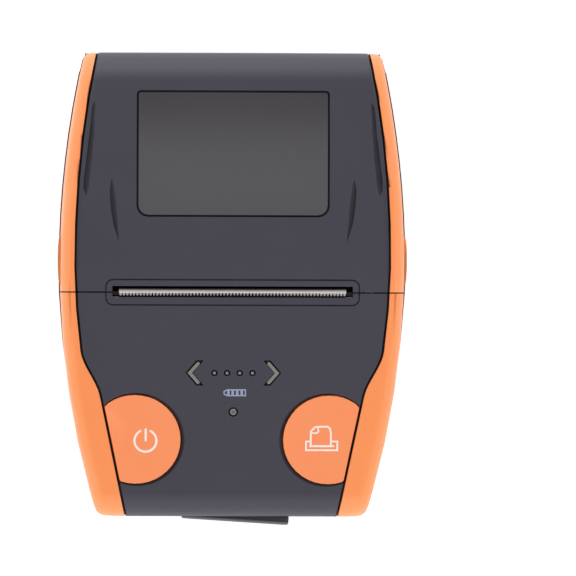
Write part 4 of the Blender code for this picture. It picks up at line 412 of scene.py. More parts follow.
# These are made anew instead of copied
REMADE_NODES = ("tear_blade", "head_spring_left", "head_spring_right")
# The guide is drawn black as painted shade for the gaps round its signs, which are the smaller light faces on
# its studs
OWN_LOOKS = {"status_light_guide": SMOKED_LENS, "print_head": HEAD_GLAZE, "light_guide": GUIDE_PAINTED_SHADE}

# The joints round the window and the trims are this much wider on the photo than the solids' running gap. A
# face belongs to a trim's joint if it is this near to the trim, looks outwards and is steep
WINDOW_JOINT = 0.17 * MM
TRIM_JOINT = 0.28 * MM
TRIM_REACH = 0.6 * MM
OUTWARD_LEAST = 0.3
UPWARD_MOST = 0.5
# How near a face's corners lie to the outer form, and how nearly it looks the same way, to take its normals
ON_FORM_REACH = 0.15 * MM
ON_FORM_ANGLE = math.radians(20)
# How far below the outer form a recess lies, and how much it looks up
RECESS_LEAST = 0.12 * MM
RECESS_MOST = 2.0 * MM
RECESS_UPWARD = 0.25
# Corners nearer than this are one, and edges that turn by more than this are sharp
COPY_MERGE = 0.0005 * MM
COPY_SHARP = math.radians(28)
PIECE_MERGE = 0.0002 * MM
PIECE_DISSOLVE = 0.0001 * MM
PIECE_SHARP = math.radians(38)

TRIM_TREES = [
    BVHTree.FromPolygons(
        [vertex.co for vertex in NODES[name].data.vertices],
        [polygon.vertices[:] for polygon in NODES[name].data.polygons],
    )
    for name in TRIMS
]

SURFACE = body_surface()
SURFACE_NORMALS = grid_normals(SURFACE).reshape(-1, 3)
SURFACE_POINTS = SURFACE.reshape(-1, 3)
TREE = KDTree(len(SURFACE_POINTS))
for index, point in enumerate(SURFACE_POINTS):
    TREE.insert(point, index)
TREE.balance()


def add_object(name, data):
    """A new object in the scene, at the origin."""
    made = bpy.data.objects.new(name, data)
    bpy.context.scene.collection.objects.link(made)
    return made


def values_of(items, key, width=1, kind=np.float32):
    """One property of all of a mesh's points, edges, faces or corners, as an array with a row for each."""
    found = np.empty(len(items) * width, kind)
    items.foreach_get(key, found)
    return found.reshape(-1, width) if width > 1 else found


def faces_of_corners(mesh):
    """The face that each corner belongs to: each face's number, as often as it has corners."""
    sizes = values_of(mesh.polygons, "loop_total", kind=np.int32)
    return np.repeat(np.arange(len(sizes)), sizes)


def against_form(places):
    """The outer form's normal nearest to each place, and how far the place stands off the form along it."""
    near = np.array([TREE.find(place)[1] for place in places])
    normals = SURFACE_NORMALS[near]
    return normals, np.einsum("ij,ij->i", places - SURFACE_POINTS[near], normals)


def smooth_copy(name):
    """A CAD node's mesh, merged, with smooth normals; those on the outer form are the form's own."""
    mesh = NODES[name].data.copy()
    mesh.name = name + "_fine"
    bm = bmesh.new()
    bm.from_mesh(mesh)
    bmesh.ops.remove_doubles(bm, verts=bm.verts, dist=COPY_MERGE)
    bm.to_mesh(mesh)
    bm.free()
    mesh.shade_smooth()
    mesh.set_sharp_from_angle(angle=COPY_SHARP)
    obj = add_object(name + "_fine", mesh)
    mesh = weigh_normals(obj)
    mesh.materials.clear()
    mesh.materials.append(LOOKS[SLOT_OF[name]])
    if name in FORM_NODES:
        take_form_normals(mesh)
    if name in RECESSED_NODES:
        # Recessed faces take a darker charcoal: painted shade
        mesh.materials.append(PAINTED_RECESS_SHADE)
        shade_recesses(mesh)
    if name in OWN_LOOKS:
        mesh.materials[0] = OWN_LOOKS[name]
    if name == "window":
        open_joint(mesh, WINDOW_JOINT)
    if name in NEXT_TO_TRIMS:
        clear_trims(mesh, TRIM_JOINT)
    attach(obj, BODY_OF[name])
    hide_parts(name)


def weigh_normals(obj):
    """Gives each corner the mean of its faces' normals by area, so that flats stay flat beside their
    rounds."""
    obj.modifiers.new("weighted", "WEIGHTED_NORMAL").keep_sharp = True
    name = obj.data.name
    mesh = bpy.data.meshes.new_from_object(obj.evaluated_get(bpy.context.evaluated_depsgraph_get()))
    obj.modifiers.clear()
    obj.data.name = name + "_plain"
    obj.data = mesh
    mesh.name = name
    return mesh


def open_joint(mesh, width):
    """Draws a sheet in towards its middle by this width along each edge, in plan: x and y shrink in
    proportion."""
    places = values_of(mesh.vertices, "co", 3)
    low, high = places.min(axis=0), places.max(axis=0)
    middle, half = (low + high) / 2, (high - low) / 2
    shrink = np.array([1 - width / half[0], 1 - width / half[1], 1.0])
    mesh.vertices.foreach_set("co", ((places - middle) * shrink + middle).astype(np.float32).ravel())
    mesh.update()


def clear_trims(mesh, width):
    """Draws the steep walls that face a trim back from it by this width, in plan: each of their points
    moves against the mean of its walls' normals."""
    places = values_of(mesh.vertices, "co", 3)
    normals = values_of(mesh.polygons, "normal", 3)
    corners = values_of(mesh.loops, "vertex_index", kind=np.int32)
    owner = faces_of_corners(mesh)
    side = np.sign(places[corners, 0])
    faces_trim = (normals[owner, 0] * side > OUTWARD_LEAST) & (np.abs(normals[owner, 2]) < UPWARD_MOST)
    gaps = np.array([min(tree.find_nearest(place)[3] for tree in TRIM_TREES) for place in places])
    faces_trim &= gaps[corners] < TRIM_REACH
    push = np.zeros((len(places), 2))
    np.add.at(push, corners[faces_trim], normals[owner[faces_trim], :2])
    places[:, :2] -= unit(push) * width
    mesh.vertices.foreach_set("co", places.ravel())
    mesh.update()


def take_form_normals(mesh):
    """Faces that lie on the body's outer form and look the same way take the form's own normals at their
    corners. The edges where such faces end are sharp, so that no corner's normal is shared with a wall."""
    corners = values_of(mesh.loops, "vertex_index", kind=np.int32)
    edges = values_of(mesh.loops, "edge_index", kind=np.int32)
    face_normals = values_of(mesh.polygons, "normal", 3)
    face_of = faces_of_corners(mesh)
    form, off = against_form(values_of(mesh.vertices, "co", 3))
    form = form[corners]
    alike = np.einsum("ij,ij->i", face_normals[face_of], form) > math.cos(ON_FORM_ANGLE)
    alike &= np.abs(off)[corners] < ON_FORM_REACH
    on_form = np.ones(len(mesh.polygons), bool)
    np.logical_and.at(on_form, face_of, alike)
    sides = np.zeros((len(mesh.edges), 2), int)
    np.add.at(sides, (edges, on_form[face_of].astype(int)), 1)
    marks = mesh.attributes["sharp_edge"].data
    sharp = values_of(marks, "value", kind=bool)
    sharp |= (sides[:, 0] > 0) & (sides[:, 1] > 0)
    marks.foreach_set("value", sharp)
    mesh.update()
    normals = values_of(mesh.corner_normals, "vector", 3).astype(float)
    take = on_form[face_of]
    normals[take] = form[take]
    mesh.normals_split_custom_set(normals.tolist())


def shade_recesses(mesh):
    """Faces that look up from a little below the outer form take the second finish, the darker charcoal that
    paints the recesses' shade: a face counts by its deepest corner, which lies between the least and the most
    depth of a recess."""
    depth = -against_form(values_of(mesh.vertices, "co", 3))[1]
    corners = values_of(mesh.loops, "vertex_index", kind=np.int32)
    sizes = values_of(mesh.polygons, "loop_total", kind=np.int32)
    first = np.concatenate([[0], np.cumsum(sizes)[:-1]])
    deepest = np.maximum.reduceat(depth[corners], first)
    up = values_of(mesh.polygons, "normal", 3)[:, 2]
    recessed = (deepest > RECESS_LEAST) & (deepest < RECESS_MOST) & (up > RECESS_UPWARD)
    mesh.polygons.foreach_set("material_index", recessed.astype(np.int32))


# Forms of the new pieces

# Ink stands this far off its surface, and the lights' faces this far off the studs' flat tops, which lie
# this far below the panel
INK_RISE = 0.02 * MM
LIGHT_RISE = 0.08 * MM
LENS_SUNK = 0.2 * MM
# A stroke's points round its section and along a rounded end, and the least cosine that its mitres allow for
STROKE_AROUND = 12
STROKE_END_STEPS = 4
MITRE_LEAST = 0.5
# A pan head: its points round and its rings, then in shares of its radius or its height its first ring, its
# dome's power and spread, its cross recess's half width, half length, slope and depth, and how far its rim
# goes down
SCREW_AROUND = 48
SCREW_RINGS = 22
SCREW_FIRST_RING = 0.04
DOME_POWER = 2.6
DOME_SPREAD = 1.001
CROSS_HALF_WIDTH = 0.13
CROSS_HALF_LENGTH = 0.62
CROSS_SLOPE = 0.25
CROSS_DEPTH = 0.6
RIM_DEPTH = 0.3
# A moulded block's rings, points round and squareness; a wire's and a bead's points round
BLOCK_ROWS = 9
BLOCK_AROUND = 28
BLOCK_POWER = 0.22
WIRE_AROUND = 10
BEAD_AROUND = 12
# A coil's points to the turn, and how far its pitch eases off at its ends
COIL_STEPS = 26
COIL_EASE = 0.75
# The cable's rows, points round, smoothing, and the squareness of its section across and through
FILM_ROWS = 60
FILM_AROUND = 20
FILM_SMOOTHING = 12
FILM_POWERS = (0.3, 0.6)


def ring_angles(around):
    """The angles of this many points, spaced evenly round a ring."""
    return np.linspace(0, 2 * np.pi, around, endpoint=False)


def signed_power(value, power):
    """The value's size raised to a power, with its sign kept: a small power makes a sine or cosine
    squarer."""
    return np.sign(value) * np.abs(value) ** power


def ring_faces(rows, columns, first=0):
    """Quads between neighbouring points of a grid whose rows each close on themselves."""
    row, column = np.meshgrid(np.arange(rows - 1), np.arange(columns), indexing="ij")
    here, beside = row * columns + column, row * columns + (column + 1) % columns
    quads = np.stack([here, beside, beside + columns, here + columns], axis=-1)
    return quads.reshape(-1, 4) + first


def piece(name, grids, look, body, stands_for=()):
    """One object from grids of shape (rows, around, 3): each row closes round on itself, and an end row
    whose points are all one closes the form."""
    points, faces, first = [], [], 0
    for grid in grids:
        points.append(grid.reshape(-1, 3))
        faces.append(ring_faces(grid.shape[0], grid.shape[1], first))
        first += grid.shape[0] * grid.shape[1]
    mesh = bpy.data.meshes.new(name)
    mesh.from_pydata(np.concatenate(points).tolist(), [], np.concatenate(faces).tolist())
    bm = bmesh.new()
    bm.from_mesh(mesh)
    bmesh.ops.remove_doubles(bm, verts=bm.verts, dist=PIECE_MERGE)
    bmesh.ops.dissolve_degenerate(bm, edges=bm.edges, dist=PIECE_DISSOLVE)
    bmesh.ops.recalc_face_normals(bm, faces=bm.faces)
    bm.to_mesh(mesh)
    bm.free()
    mesh.shade_smooth()
    mesh.set_sharp_from_angle(angle=PIECE_SHARP)
    mesh.materials.append(look)
    obj = add_object(name, mesh)
    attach(obj, body)
    if stands_for:
        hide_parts(*stands_for)
    return obj


def close_ends(grid, first, last):
    """The grid with a row at one point before it and another after it."""
    ends = [np.repeat(point[None, None], grid.shape[1], axis=1) for point in (first, last)]
    return np.concatenate([ends[0], grid, ends[1]])


def round_rings(path, side, other, radius, around):
    """A ring of round section about each point of a path, spanned by two directions square to each other."""
    angle = ring_angles(around)
    ring = side[:, None] * np.cos(angle)[None, :, None] + other[:, None] * np.sin(angle)[None, :, None]
    return path[:, None] + ring * radius * MM


def arc_points(centre, radius, start, end, count):
    """Points along an arc, from one angle to another in degrees."""
    angle = np.radians(np.linspace(start, end, count))
    return np.stack([centre[0] + radius * np.cos(angle), centre[1] + radius * np.sin(angle)], axis=-1)


def lens_height(x, y):
    """Height of the flat tops of the light studs, which lie parallel to the panel and a little below it."""
    return top_height(y) - LENS_SUNK + 0 * x


def stroke(path, width, closed=False, rise=INK_RISE, over=form_height):
    """A stroke over the body's top, or over another height. Its section is an ellipse, width across and
    twice rise high. Its corners are mitred, and an open end's half width follows a quarter circle down to a
    point."""
    path = np.asarray(path, float) * MM
    radius = width * MM / 2
    if closed:
        before, after = np.roll(path, 1, axis=0), np.roll(path, -1, axis=0)
        halves = np.full(len(path), radius)
    else:
        turn = np.linspace(0, np.pi / 2, STROKE_END_STEPS + 1)[:-1]
        first, last = unit(path[1] - path[0]), unit(path[-1] - path[-2])
        head = path[0] - first * radius * np.cos(turn)[:, None]
        tail = path[-1] + last * radius * np.cos(turn[::-1])[:, None]
        taper = radius * np.sin(turn)
        halves = np.concatenate([taper, np.full(len(path), radius), taper[::-1]])
        path = np.concatenate([head, path, tail])
        before, after = np.vstack([path[:1] - first, path[:-1]]), np.vstack([path[1:], path[-1:] + last])
    into, out = unit(path - before), unit(after - path)
    mean = unit(into + out)
    mitre = 1 / np.maximum(np.einsum("ij,ij->i", mean, out), MITRE_LEAST)
    side = np.stack([-mean[:, 1], mean[:, 0]], axis=1) * mitre[:, None]
    angle = ring_angles(STROKE_AROUND)
    flat = path[:, None, :] + side[:, None, :] * (halves[:, None] * np.cos(angle))[..., None]
    lift = rise * (halves / radius)[:, None] * np.sin(angle)
    height = over(flat[..., 0], flat[..., 1]) + lift
    grid = np.stack([flat[..., 0], flat[..., 1] + BODY_SHIFT, height], axis=-1)
    return np.concatenate([grid, grid[:1]]) if closed else grid


def screw(place, axis, radius, height):
    """A pan head whose top is a dome less a cross recess: the recess falls to its floor over a thin slope."""
    reach = np.concatenate([[0], np.linspace(SCREW_FIRST_RING, 1.0, SCREW_RINGS)]) * radius * MM
    angle = ring_angles(SCREW_AROUND)
    x, y = reach[:, None] * np.cos(angle), reach[:, None] * np.sin(angle)
    spread = (reach[:, None] / (radius * MM * DOME_SPREAD)) ** DOME_POWER
    dome = height * MM * np.sqrt(np.maximum(1 - spread, 0)) + 0 * x
    across = np.minimum(
        np.maximum(np.abs(x) / CROSS_HALF_WIDTH, np.abs(y) / CROSS_HALF_LENGTH),
        np.maximum(np.abs(y) / CROSS_HALF_WIDTH, np.abs(x) / CROSS_HALF_LENGTH),
    )
    recess = np.clip((radius * MM - across) / (CROSS_SLOPE * radius * MM), 0, 1)
    top = np.stack([x, y, dome - recess * height * MM * CROSS_DEPTH], axis=-1)
    rim = np.stack([x[-1], y[-1], 0 * x[-1] - RIM_DEPTH * height * MM], axis=-1)
    grid = np.concatenate([top, rim[None], (rim * np.array([0.0, 0.0, 1.0]))[None]])
    to_axis = np.array(Vector((0, 0, 1)).rotation_difference(Vector(axis)).to_matrix())
    return grid @ to_axis.T + np.array(place) * MM


def block(place, size):
    """A moulded block: a superellipsoid, whose sines and cosines are raised to a small power."""
    up = np.linspace(-np.pi / 2, np.pi / 2, BLOCK_ROWS)[:, None]
    way = (ring_angles(BLOCK_AROUND) + np.pi / BLOCK_AROUND)[None]
    x = signed_power(np.cos(up), BLOCK_POWER) * signed_power(np.cos(way), BLOCK_POWER)
    y = signed_power(np.cos(up), BLOCK_POWER) * signed_power(np.sin(way), BLOCK_POWER)
    z = signed_power(np.sin(up), BLOCK_POWER) + 0 * way
    grid = np.stack([x, y, z], axis=-1) * np.array(size) / 2 * MM
    grid[0, :, :2] = 0
    grid[-1, :, :2] = 0
    return grid + np.array(place) * MM


def wire(path, radius):
    """A round wire along a path: each ring stands square to the path's slope there, and the ends close to
    points."""
    path = np.asarray(path) * MM
    slope = unit(np.gradient(path, axis=0))
    side = unit(np.cross(slope, np.array([0.0, 1.0, 0.0])))
    return close_ends(round_rings(path, side, np.cross(slope, side), radius, WIRE_AROUND), path[0], path[-1])


def bead(path, outward, radius):
    """A closed bead of round section: each ring is spanned by the outward direction and by what is square
    to both that and the path's slope."""
    path = np.asarray(path, float) * MM
    slope = unit(np.roll(path, -1, axis=0) - np.roll(path, 1, axis=0))
    outward = np.broadcast_to(np.asarray(outward, float), slope.shape)
    grid = round_rings(path, unit(np.cross(slope, outward)), outward, radius, BEAD_AROUND)
    return np.concatenate([grid, grid[:1]])


def spring_path(centre, low, high, radius, turns):
    """A compression spring along Y: a helix whose pitch eases to nothing at both ends, as ground end coils
    have."""
    share = np.linspace(0, 1, int(turns * COIL_STEPS))
    angle = 2 * np.pi * turns * share
    run = low + (high - low) * (share - np.sin(2 * np.pi * share) / (2 * np.pi) * COIL_EASE)
    return np.stack([centre[0] + radius * np.cos(angle), run, centre[1] + radius * np.sin(angle)], axis=-1)


def film(path, width, thickness):
    """A flat cable along a path in (y, z): a thin rounded strip, square to the path, with its ends closed.
    The path's corners are smoothed by taking each point's mean with its neighbours, over and over."""
    path = np.asarray(path, float)
    run = np.concatenate([[0], np.cumsum(np.linalg.norm(np.diff(path, axis=0), axis=1))])
    fine = np.linspace(0, run[-1], FILM_ROWS)
    smooth = np.stack([np.interp(fine, run, path[:, i]) for i in range(2)], axis=-1)
    for _ in range(FILM_SMOOTHING):
        smooth[1:-1] = (smooth[:-2] + smooth[2:] + 2 * smooth[1:-1]) / 4
    slope = unit(np.gradient(smooth, axis=0))
    square = np.stack([-slope[:, 1], slope[:, 0]], axis=-1)
    angle = ring_angles(FILM_AROUND) + np.pi / FILM_AROUND
    across = signed_power(np.cos(angle), FILM_POWERS[0]) * width / 2
    out = signed_power(np.sin(angle), FILM_POWERS[1]) * thickness / 2
    y = smooth[:, :1] + square[:, :1] * out
    z = smooth[:, 1:] + square[:, 1:] * out
    grid = np.stack([across + 0 * y, y, z], axis=-1) * MM
    return close_ends(grid, grid[0].mean(axis=0), grid[-1].mean(axis=0))


# The tear blade: its teeth, its sheet, the rounds at its foot and at its top, how far below its highest
# place the upright ends, how far its face leans over from the upright, and how the teeth fall and thin out
TEETH = 68
TOOTH_STEPS = 6
TOOTH_REACH = 0.75 * MM
ROOT_REACH = 0.02 * MM
TOOTH_FALL = math.radians(3)
TOOTH_THINNING = 0.8
BLADE_ROOT_Y = -0.99 * MM
BLADE_SHEET = 0.40 * MM
BLADE_CORNER = 0.5 * MM
BLADE_BEND = 0.42 * MM
BLADE_TOP_DROP = 1.35 * MM
BLADE_LEAN = math.radians(76)
BEND_STEPS = 5
FACE_STEPS = 3
TOOTH_ROWS = 5


def tear_blade_grid(low, high):
    """A folded steel sheet with a saw-toothed edge. Its middle line runs along the foot, up an upright,
    over a bend and forward in a nearly flat face; past the roots each row runs on to the tooth's reach, a
    clipped triangle wave of x. Both skins lie half the sheet's thickness off that line, and the teeth thin
    out towards their tips."""
    x = np.linspace(low[0], high[0], TEETH * TOOTH_STEPS + 1)
    wave = 1 - np.abs(2 * ((x - low[0]) / (high[0] - low[0]) * TEETH % 1.0) - 1)
    reach = TOOTH_REACH * np.minimum(1.0, 2.0 * wave) + ROOT_REACH
    back, foot = high[1] - BLADE_SHEET / 2, low[2] + BLADE_SHEET / 2
    heel = back - BLADE_CORNER
    turn = np.linspace(0, 1, BEND_STEPS + 1)[1:]
    line = [(low[1], foot), (low[1] * 0.5 + back * 0.5, foot), (heel, foot)]
    line += [(heel + BLADE_CORNER * math.sin(a * math.pi / 2),
              foot + BLADE_CORNER - BLADE_CORNER * math.cos(a * math.pi / 2)) for a in turn]
    top = high[2] - BLADE_TOP_DROP
    line += [(back, (foot + top) / 2), (back, top)]
    line += [(back - BLADE_BEND + BLADE_BEND * math.cos(a * BLADE_LEAN),
              top + BLADE_BEND * math.sin(a * BLADE_LEAN)) for a in turn]
    bend_y, bend_z = line[-1]
    rise = (bend_y - BLADE_ROOT_Y) / math.tan(BLADE_LEAN)
    face = np.linspace(0, 1, FACE_STEPS + 1)[1:]
    line += [(bend_y + (BLADE_ROOT_Y - bend_y) * share, bend_z + rise * share) for share in face]
    line = np.array(line)
    past = np.linspace(0, 1, TOOTH_ROWS + 1)[1:]
    tooth_y = BLADE_ROOT_Y - past[None] * reach[:, None]
    tooth_z = line[-1, 1] - past[None] * reach[:, None] * math.tan(TOOTH_FALL)
    y = np.concatenate([np.repeat(line[None, :, 0], len(x), 0), tooth_y], axis=1)
    z = np.concatenate([np.repeat(line[None, :, 1], len(x), 0), tooth_z], axis=1)
    slope = unit(np.stack([np.gradient(y, axis=1), np.gradient(z, axis=1)], axis=-1))
    thinned = BLADE_SHEET / 2 * (1 - TOOTH_THINNING * past)
    half = np.concatenate([np.full(len(line), BLADE_SHEET / 2), thinned])
    off = np.stack([-slope[..., 1], slope[..., 0]], axis=-1) * half[None, :, None]
    middle = np.stack([y, z], axis=-1)
    skins = np.concatenate([middle + off, (middle - off)[:, ::-1]], axis=1)
    flat = np.concatenate([middle, middle[:, ::-1]], axis=1)
    skins = np.concatenate([flat[:1], skins, flat[-1:]])
    x = np.concatenate([x[:1], x, x[-1:]])
    return np.concatenate([np.repeat(x[:, None, None], skins.shape[1], 1), skins], axis=-1)


# Where the new pieces are, in millimetres

# The power sign: a ring open at the rear, from one angle to the other in degrees, and a bar in its opening
POWER_CENTRE = (-21.05, -38.0)
POWER_RADIUS = 2.68
POWER_OPEN = (118, 422)
POWER_RING_STEPS = 56
POWER_BAR = ((-21.0, -35.2), (-21.0, -36.6), (-21.0, -37.9))
POWER_WIDTH = 0.55

# The feed sign's strokes, each a path and a width: the sheet, its folded corner, the tray and the tray's lip
FEED_SIGN = (
    (
        ((24.15, -39.1), (24.15, -36.0), (23.9, -34.85), (23.3, -34.45), (21.5, -34.45), (20.3, -34.5),
         (19.25, -35.6), (19.25, -37.3), (19.25, -39.1)),
        0.45,
    ),
    (((20.9, -34.6), (21.15, -35.6), (20.7, -36.05), (19.5, -35.95)), 0.36),
    (((19.25, -38.05), (18.1, -38.05), (18.1, -40.2), (25.75, -40.2), (25.75, -38.05), (24.6, -38.05)), 0.45),
    (((19.1, -39.2), (21.8, -39.2), (24.8, -39.2)), 0.5),
)

# The lights' middle, the chevrons' apex and ends from it, the dots' pitch, and a painted highlight on the
# status light's rim, a closed ring whose last point, in degrees, lies one step short of its first
LIGHTS_X = 0.3
LIGHTS_Y = -21.4
CHEVRON_APEX = 10.62
CHEVRON_END = (8.62, 2.26)
CHEVRON_WIDTH = 0.84
DOT_PITCH = 3.08
DOT_STEPS = (-1.5, -0.5, 0.5, 1.5)
DOT_HALF_LENGTH = 0.01
DOT_WIDTH = 0.78
STATUS_Y = -30.9
STATUS_HIGHLIGHT_RADIUS = 0.58
STATUS_HIGHLIGHT_WIDTH = 0.36
STATUS_STEPS = 36
STATUS_END = 350

# The battery sign: its case and nose in one closed outline, and its four cells
BATTERY_CASE = ((-1.95, -25.9), (-1.25, -25.5), (3.25, -25.5), (3.25, -26.9), (-1.25, -26.9), (-1.95, -26.5))
BATTERY_CASE_WIDTH = 0.32
CELL_XS = (-0.9, 0.15, 1.25, 2.35)
CELL_REAR, CELL_FRONT = -25.68, -26.72
CELL_WIDTH = 0.62

# The port cover's outer face: its pin, its reach, where the face is at the pin, and how far its end has
# swung out. Its lip: the rounded rectangle that the bead runs along, and the bead's radius
COVER_PIN_X = -13.2
COVER_REACH = 27.3
COVER_FACE_Y = -55.85
COVER_AJAR = 1.71
LIP_LEFT, LIP_RIGHT, LIP_LOW, LIP_HIGH = -11.75, 13.6, 15.7, 21.9
LIP_CORNER = 1.3
LIP_CORNER_STEPS = 10
LIP_RADIUS = 0.45

# Screws: the places of the heads, and a head's radius and height
CASE_SCREWS = ((-26.5, -50.14, 5.5), (26.5, -50.14, 5.5), (-35.0, 21.86, 5.5), (35.0, 21.86, 5.5))
CASE_SCREW_SIZE = (2.0, 1.1)
BOARD_SCREWS = ((-33.5, -47.0, 22.35), (33.5, -47.0, 22.35), (-33.5, -17.0, 22.35), (33.5, -17.0, 22.35))
BOARD_SCREW_SIZE = (1.4, 0.8)

# The head's springs: a coil's radius and turns, how far inside its solid's box it ends, and its wire's
# radius. The head's cable, as a path in (y, z)
SPRING_RADIUS = 2.0
SPRING_TURNS = 4.0
SPRING_END = 0.2
SPRING_WIRE_RADIUS = 0.2
CABLE_PATH = (
    (-1.24, 27.0), (-1.24, 24.6), (-2.4, 23.2), (-5.0, 22.9), (-9.0, 23.0), (-13.0, 22.9), (-16.6, 22.9),
)
CABLE_WIDTH = 24.0
CABLE_THICKNESS = 0.2
# The blade's foot is drawn in black plastic up to this height over its lowest place: painted shade for what
# shows between the teeth
BLADE_SHADE_HEIGHT = 1.0 * MM

# The boards' parts: a connector and five chips by place and size, and capacitors of one size
CHIPS = (
    ((0.0, -17.6, 23.0), (26.0, 3.4, 1.7)),
    ((-9.0, -27.0, 22.75), (9.0, 9.0, 1.1)),
    ((11.0, -25.0, 22.7), (7.0, 7.0, 1.0)),
    ((-25.0, -22.0, 23.0), (6.0, 9.0, 1.6)),
    ((26.5, -24.0, 23.6), (6.0, 6.0, 2.8)),
    ((20.0, -31.0, 22.6), (5.0, 4.0, 0.9)),
)
CAPACITORS = (
    (-17, -31), (-14, -31), (-3, -21), (0, -33), (3, -33), (6, -33),
    (16, -20), (19, -20), (-30, -30), (-30, -33), (30, -31),
)
CAPACITOR_Z = 22.55
CAPACITOR_SIZE = (1.6, 0.8, 0.75)


def make_signs():
    """The power sign, the paper feed sign, the lights' faces and the battery sign, as strokes over the
    panel."""
    ring = arc_points(POWER_CENTRE, POWER_RADIUS, *POWER_OPEN, POWER_RING_STEPS)
    power = [stroke(path, POWER_WIDTH) for path in (ring, POWER_BAR)]
    piece("power_sign", power, WHITE_INK, "power_key")
    feed = [stroke(path, width) for path, width in FEED_SIGN]
    piece("feed_sign", feed, WHITE_INK, "feed_key")
    make_light_signs()
    cells = [stroke([(x, CELL_REAR), (x, CELL_FRONT)], CELL_WIDTH) for x in CELL_XS]
    case = stroke(BATTERY_CASE, BATTERY_CASE_WIDTH, closed=True)
    piece("battery_sign", [case] + cells, BLUE_INK, "base")


def make_light_signs():
    """The light guide's bright faces, as strokes over the studs' tops: two chevrons, four dots that are strokes
    of next to no length, and a pale ring round the status light, a painted highlight on its lens's rim."""
    on_studs = {"rise": LIGHT_RISE, "over": lens_height}
    chevrons = []
    for side in (-1, 1):
        end_x = LIGHTS_X + side * CHEVRON_END[0]
        path = [
            (end_x, LIGHTS_Y + CHEVRON_END[1]),
            (LIGHTS_X + side * CHEVRON_APEX, LIGHTS_Y),
            (end_x, LIGHTS_Y - CHEVRON_END[1]),
        ]
        chevrons.append(stroke(path, CHEVRON_WIDTH, **on_studs))
    dots = []
    for step in DOT_STEPS:
        x = LIGHTS_X + DOT_PITCH * step
        path = [(x - DOT_HALF_LENGTH, LIGHTS_Y), (x + DOT_HALF_LENGTH, LIGHTS_Y)]
        dots.append(stroke(path, DOT_WIDTH, **on_studs))
    # The status light's ring is a painted highlight on its lens's rim
    ring = arc_points((LIGHTS_X, STATUS_Y), STATUS_HIGHLIGHT_RADIUS, 0, STATUS_END, STATUS_STEPS)
    rim = stroke(ring, STATUS_HIGHLIGHT_WIDTH, closed=True, **on_studs)
    piece("light_signs", chevrons + dots + [rim], LOOKS["light_pipe"], "base")


def make_cover_lip():
    """The soft lip that the rubber port cover seals with: a bead round its outer face, along a rounded
    rectangle that leans out with the cover."""
    left, right = LIP_LEFT + LIP_CORNER, LIP_RIGHT - LIP_CORNER
    low, high = LIP_LOW + LIP_CORNER, LIP_HIGH - LIP_CORNER
    turns = [(right, high, 90, 0), (right, low, 0, -90), (left, low, -90, -180), (left, high, 180, 90)]
    outline = np.concatenate([arc_points((x, z), LIP_CORNER, start, end, LIP_CORNER_STEPS)
                              for x, z, start, end in turns])
    run = (outline[:, 0] - COVER_PIN_X) / COVER_REACH
    path = np.stack([outline[:, 0], COVER_FACE_Y - COVER_AJAR * run, outline[:, 1]], axis=-1)
    slope = COVER_AJAR / COVER_REACH
    outward = np.array([-slope, -1.0, 0.0]) / math.hypot(slope, 1.0)
    # The bead is drawn greyer than its rubber cover: a painted highlight
    piece("port_cover_lip", [bead(path, outward, LIP_RADIUS)], LIP_PAINTED_HIGHLIGHT, "cover")


def make_screws():
    """The heads of the case's screws, which look down, and of the boards' screws, which look up."""
    for name, places, up, size in (
        ("case_screws", CASE_SCREWS, -1, CASE_SCREW_SIZE),
        ("board_screws", BOARD_SCREWS, 1, BOARD_SCREW_SIZE),
    ):
        heads = [screw(place, (0, 0, up), *size) for place in places]
        piece(name, heads, LOOKS["plated_steel"], "base")


def make_springs():
    """The two springs behind the print head, each a wire along a coil inside its solid's box."""
    for word in ("left", "right"):
        low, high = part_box("head_spring_" + word)
        centre = ((low[0] + high[0]) / 2 / MM, (low[2] + high[2]) / 2 / MM)
        ends = low[1] / MM + SPRING_END, high[1] / MM - SPRING_END
        coil = wire(spring_path(centre, *ends, SPRING_RADIUS, SPRING_TURNS), SPRING_WIRE_RADIUS)
        piece("fine_spring_" + word, [coil], LOOKS["steel"], "base", ("head_spring_" + word,))


def make_tear_blade():
    """The serrated blade in its solid's box, with its foot drawn in black plastic as painted shade seen between
    the teeth.
    """
    low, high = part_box("tear_blade")
    sheet = tear_blade_grid(low, high)
    blade = piece("fine_tear_blade", [sheet], LOOKS["steel"], "base", ("tear_blade",))
    # The foot's faces take black plastic: painted shade under the teeth
    blade.data.materials.append(LOOKS["black_plastic"])
    foot = values_of(blade.data.polygons, "center", 3)[:, 2] < low[2] + BLADE_SHADE_HEIGHT
    blade.data.polygons.foreach_set("material_index", foot.astype(np.int32))


def make_board_parts():
    """The head's flat cable, and the chips and capacitors on the boards."""
    piece("head_cable", [film(CABLE_PATH, CABLE_WIDTH, CABLE_THICKNESS)], CABLE_FILM, "base")
    chips = [block(place, size) for place, size in CHIPS]
    piece("board_chips", chips, LOOKS["black_plastic"], "base")
    capacitors = [block((x, y, CAPACITOR_Z), CAPACITOR_SIZE) for x, y in CAPACITORS]
    piece("board_capacitors", capacitors, LOOKS["ceramic"], "base")


for name in NODES:
    if name not in REMADE_NODES:
        smooth_copy(name)
make_signs()
make_cover_lip()
make_screws()
make_springs()
make_tear_blade()
make_board_parts()

# Floor, light and camera

FLOOR_HALF = 2.0
FLOOR_Z = -0.05 * MM
WHITE = (1.0, 1.0, 1.0, 1.0)

# The tent's brightness against the upward part of its direction: bright low down, dark well above that, and
# brighter again overhead
TENT_STRENGTHS = ((0.0, 1.30), (0.30, 1.10), (0.60, 0.54), (0.86, 0.48), (1.0, 0.85))

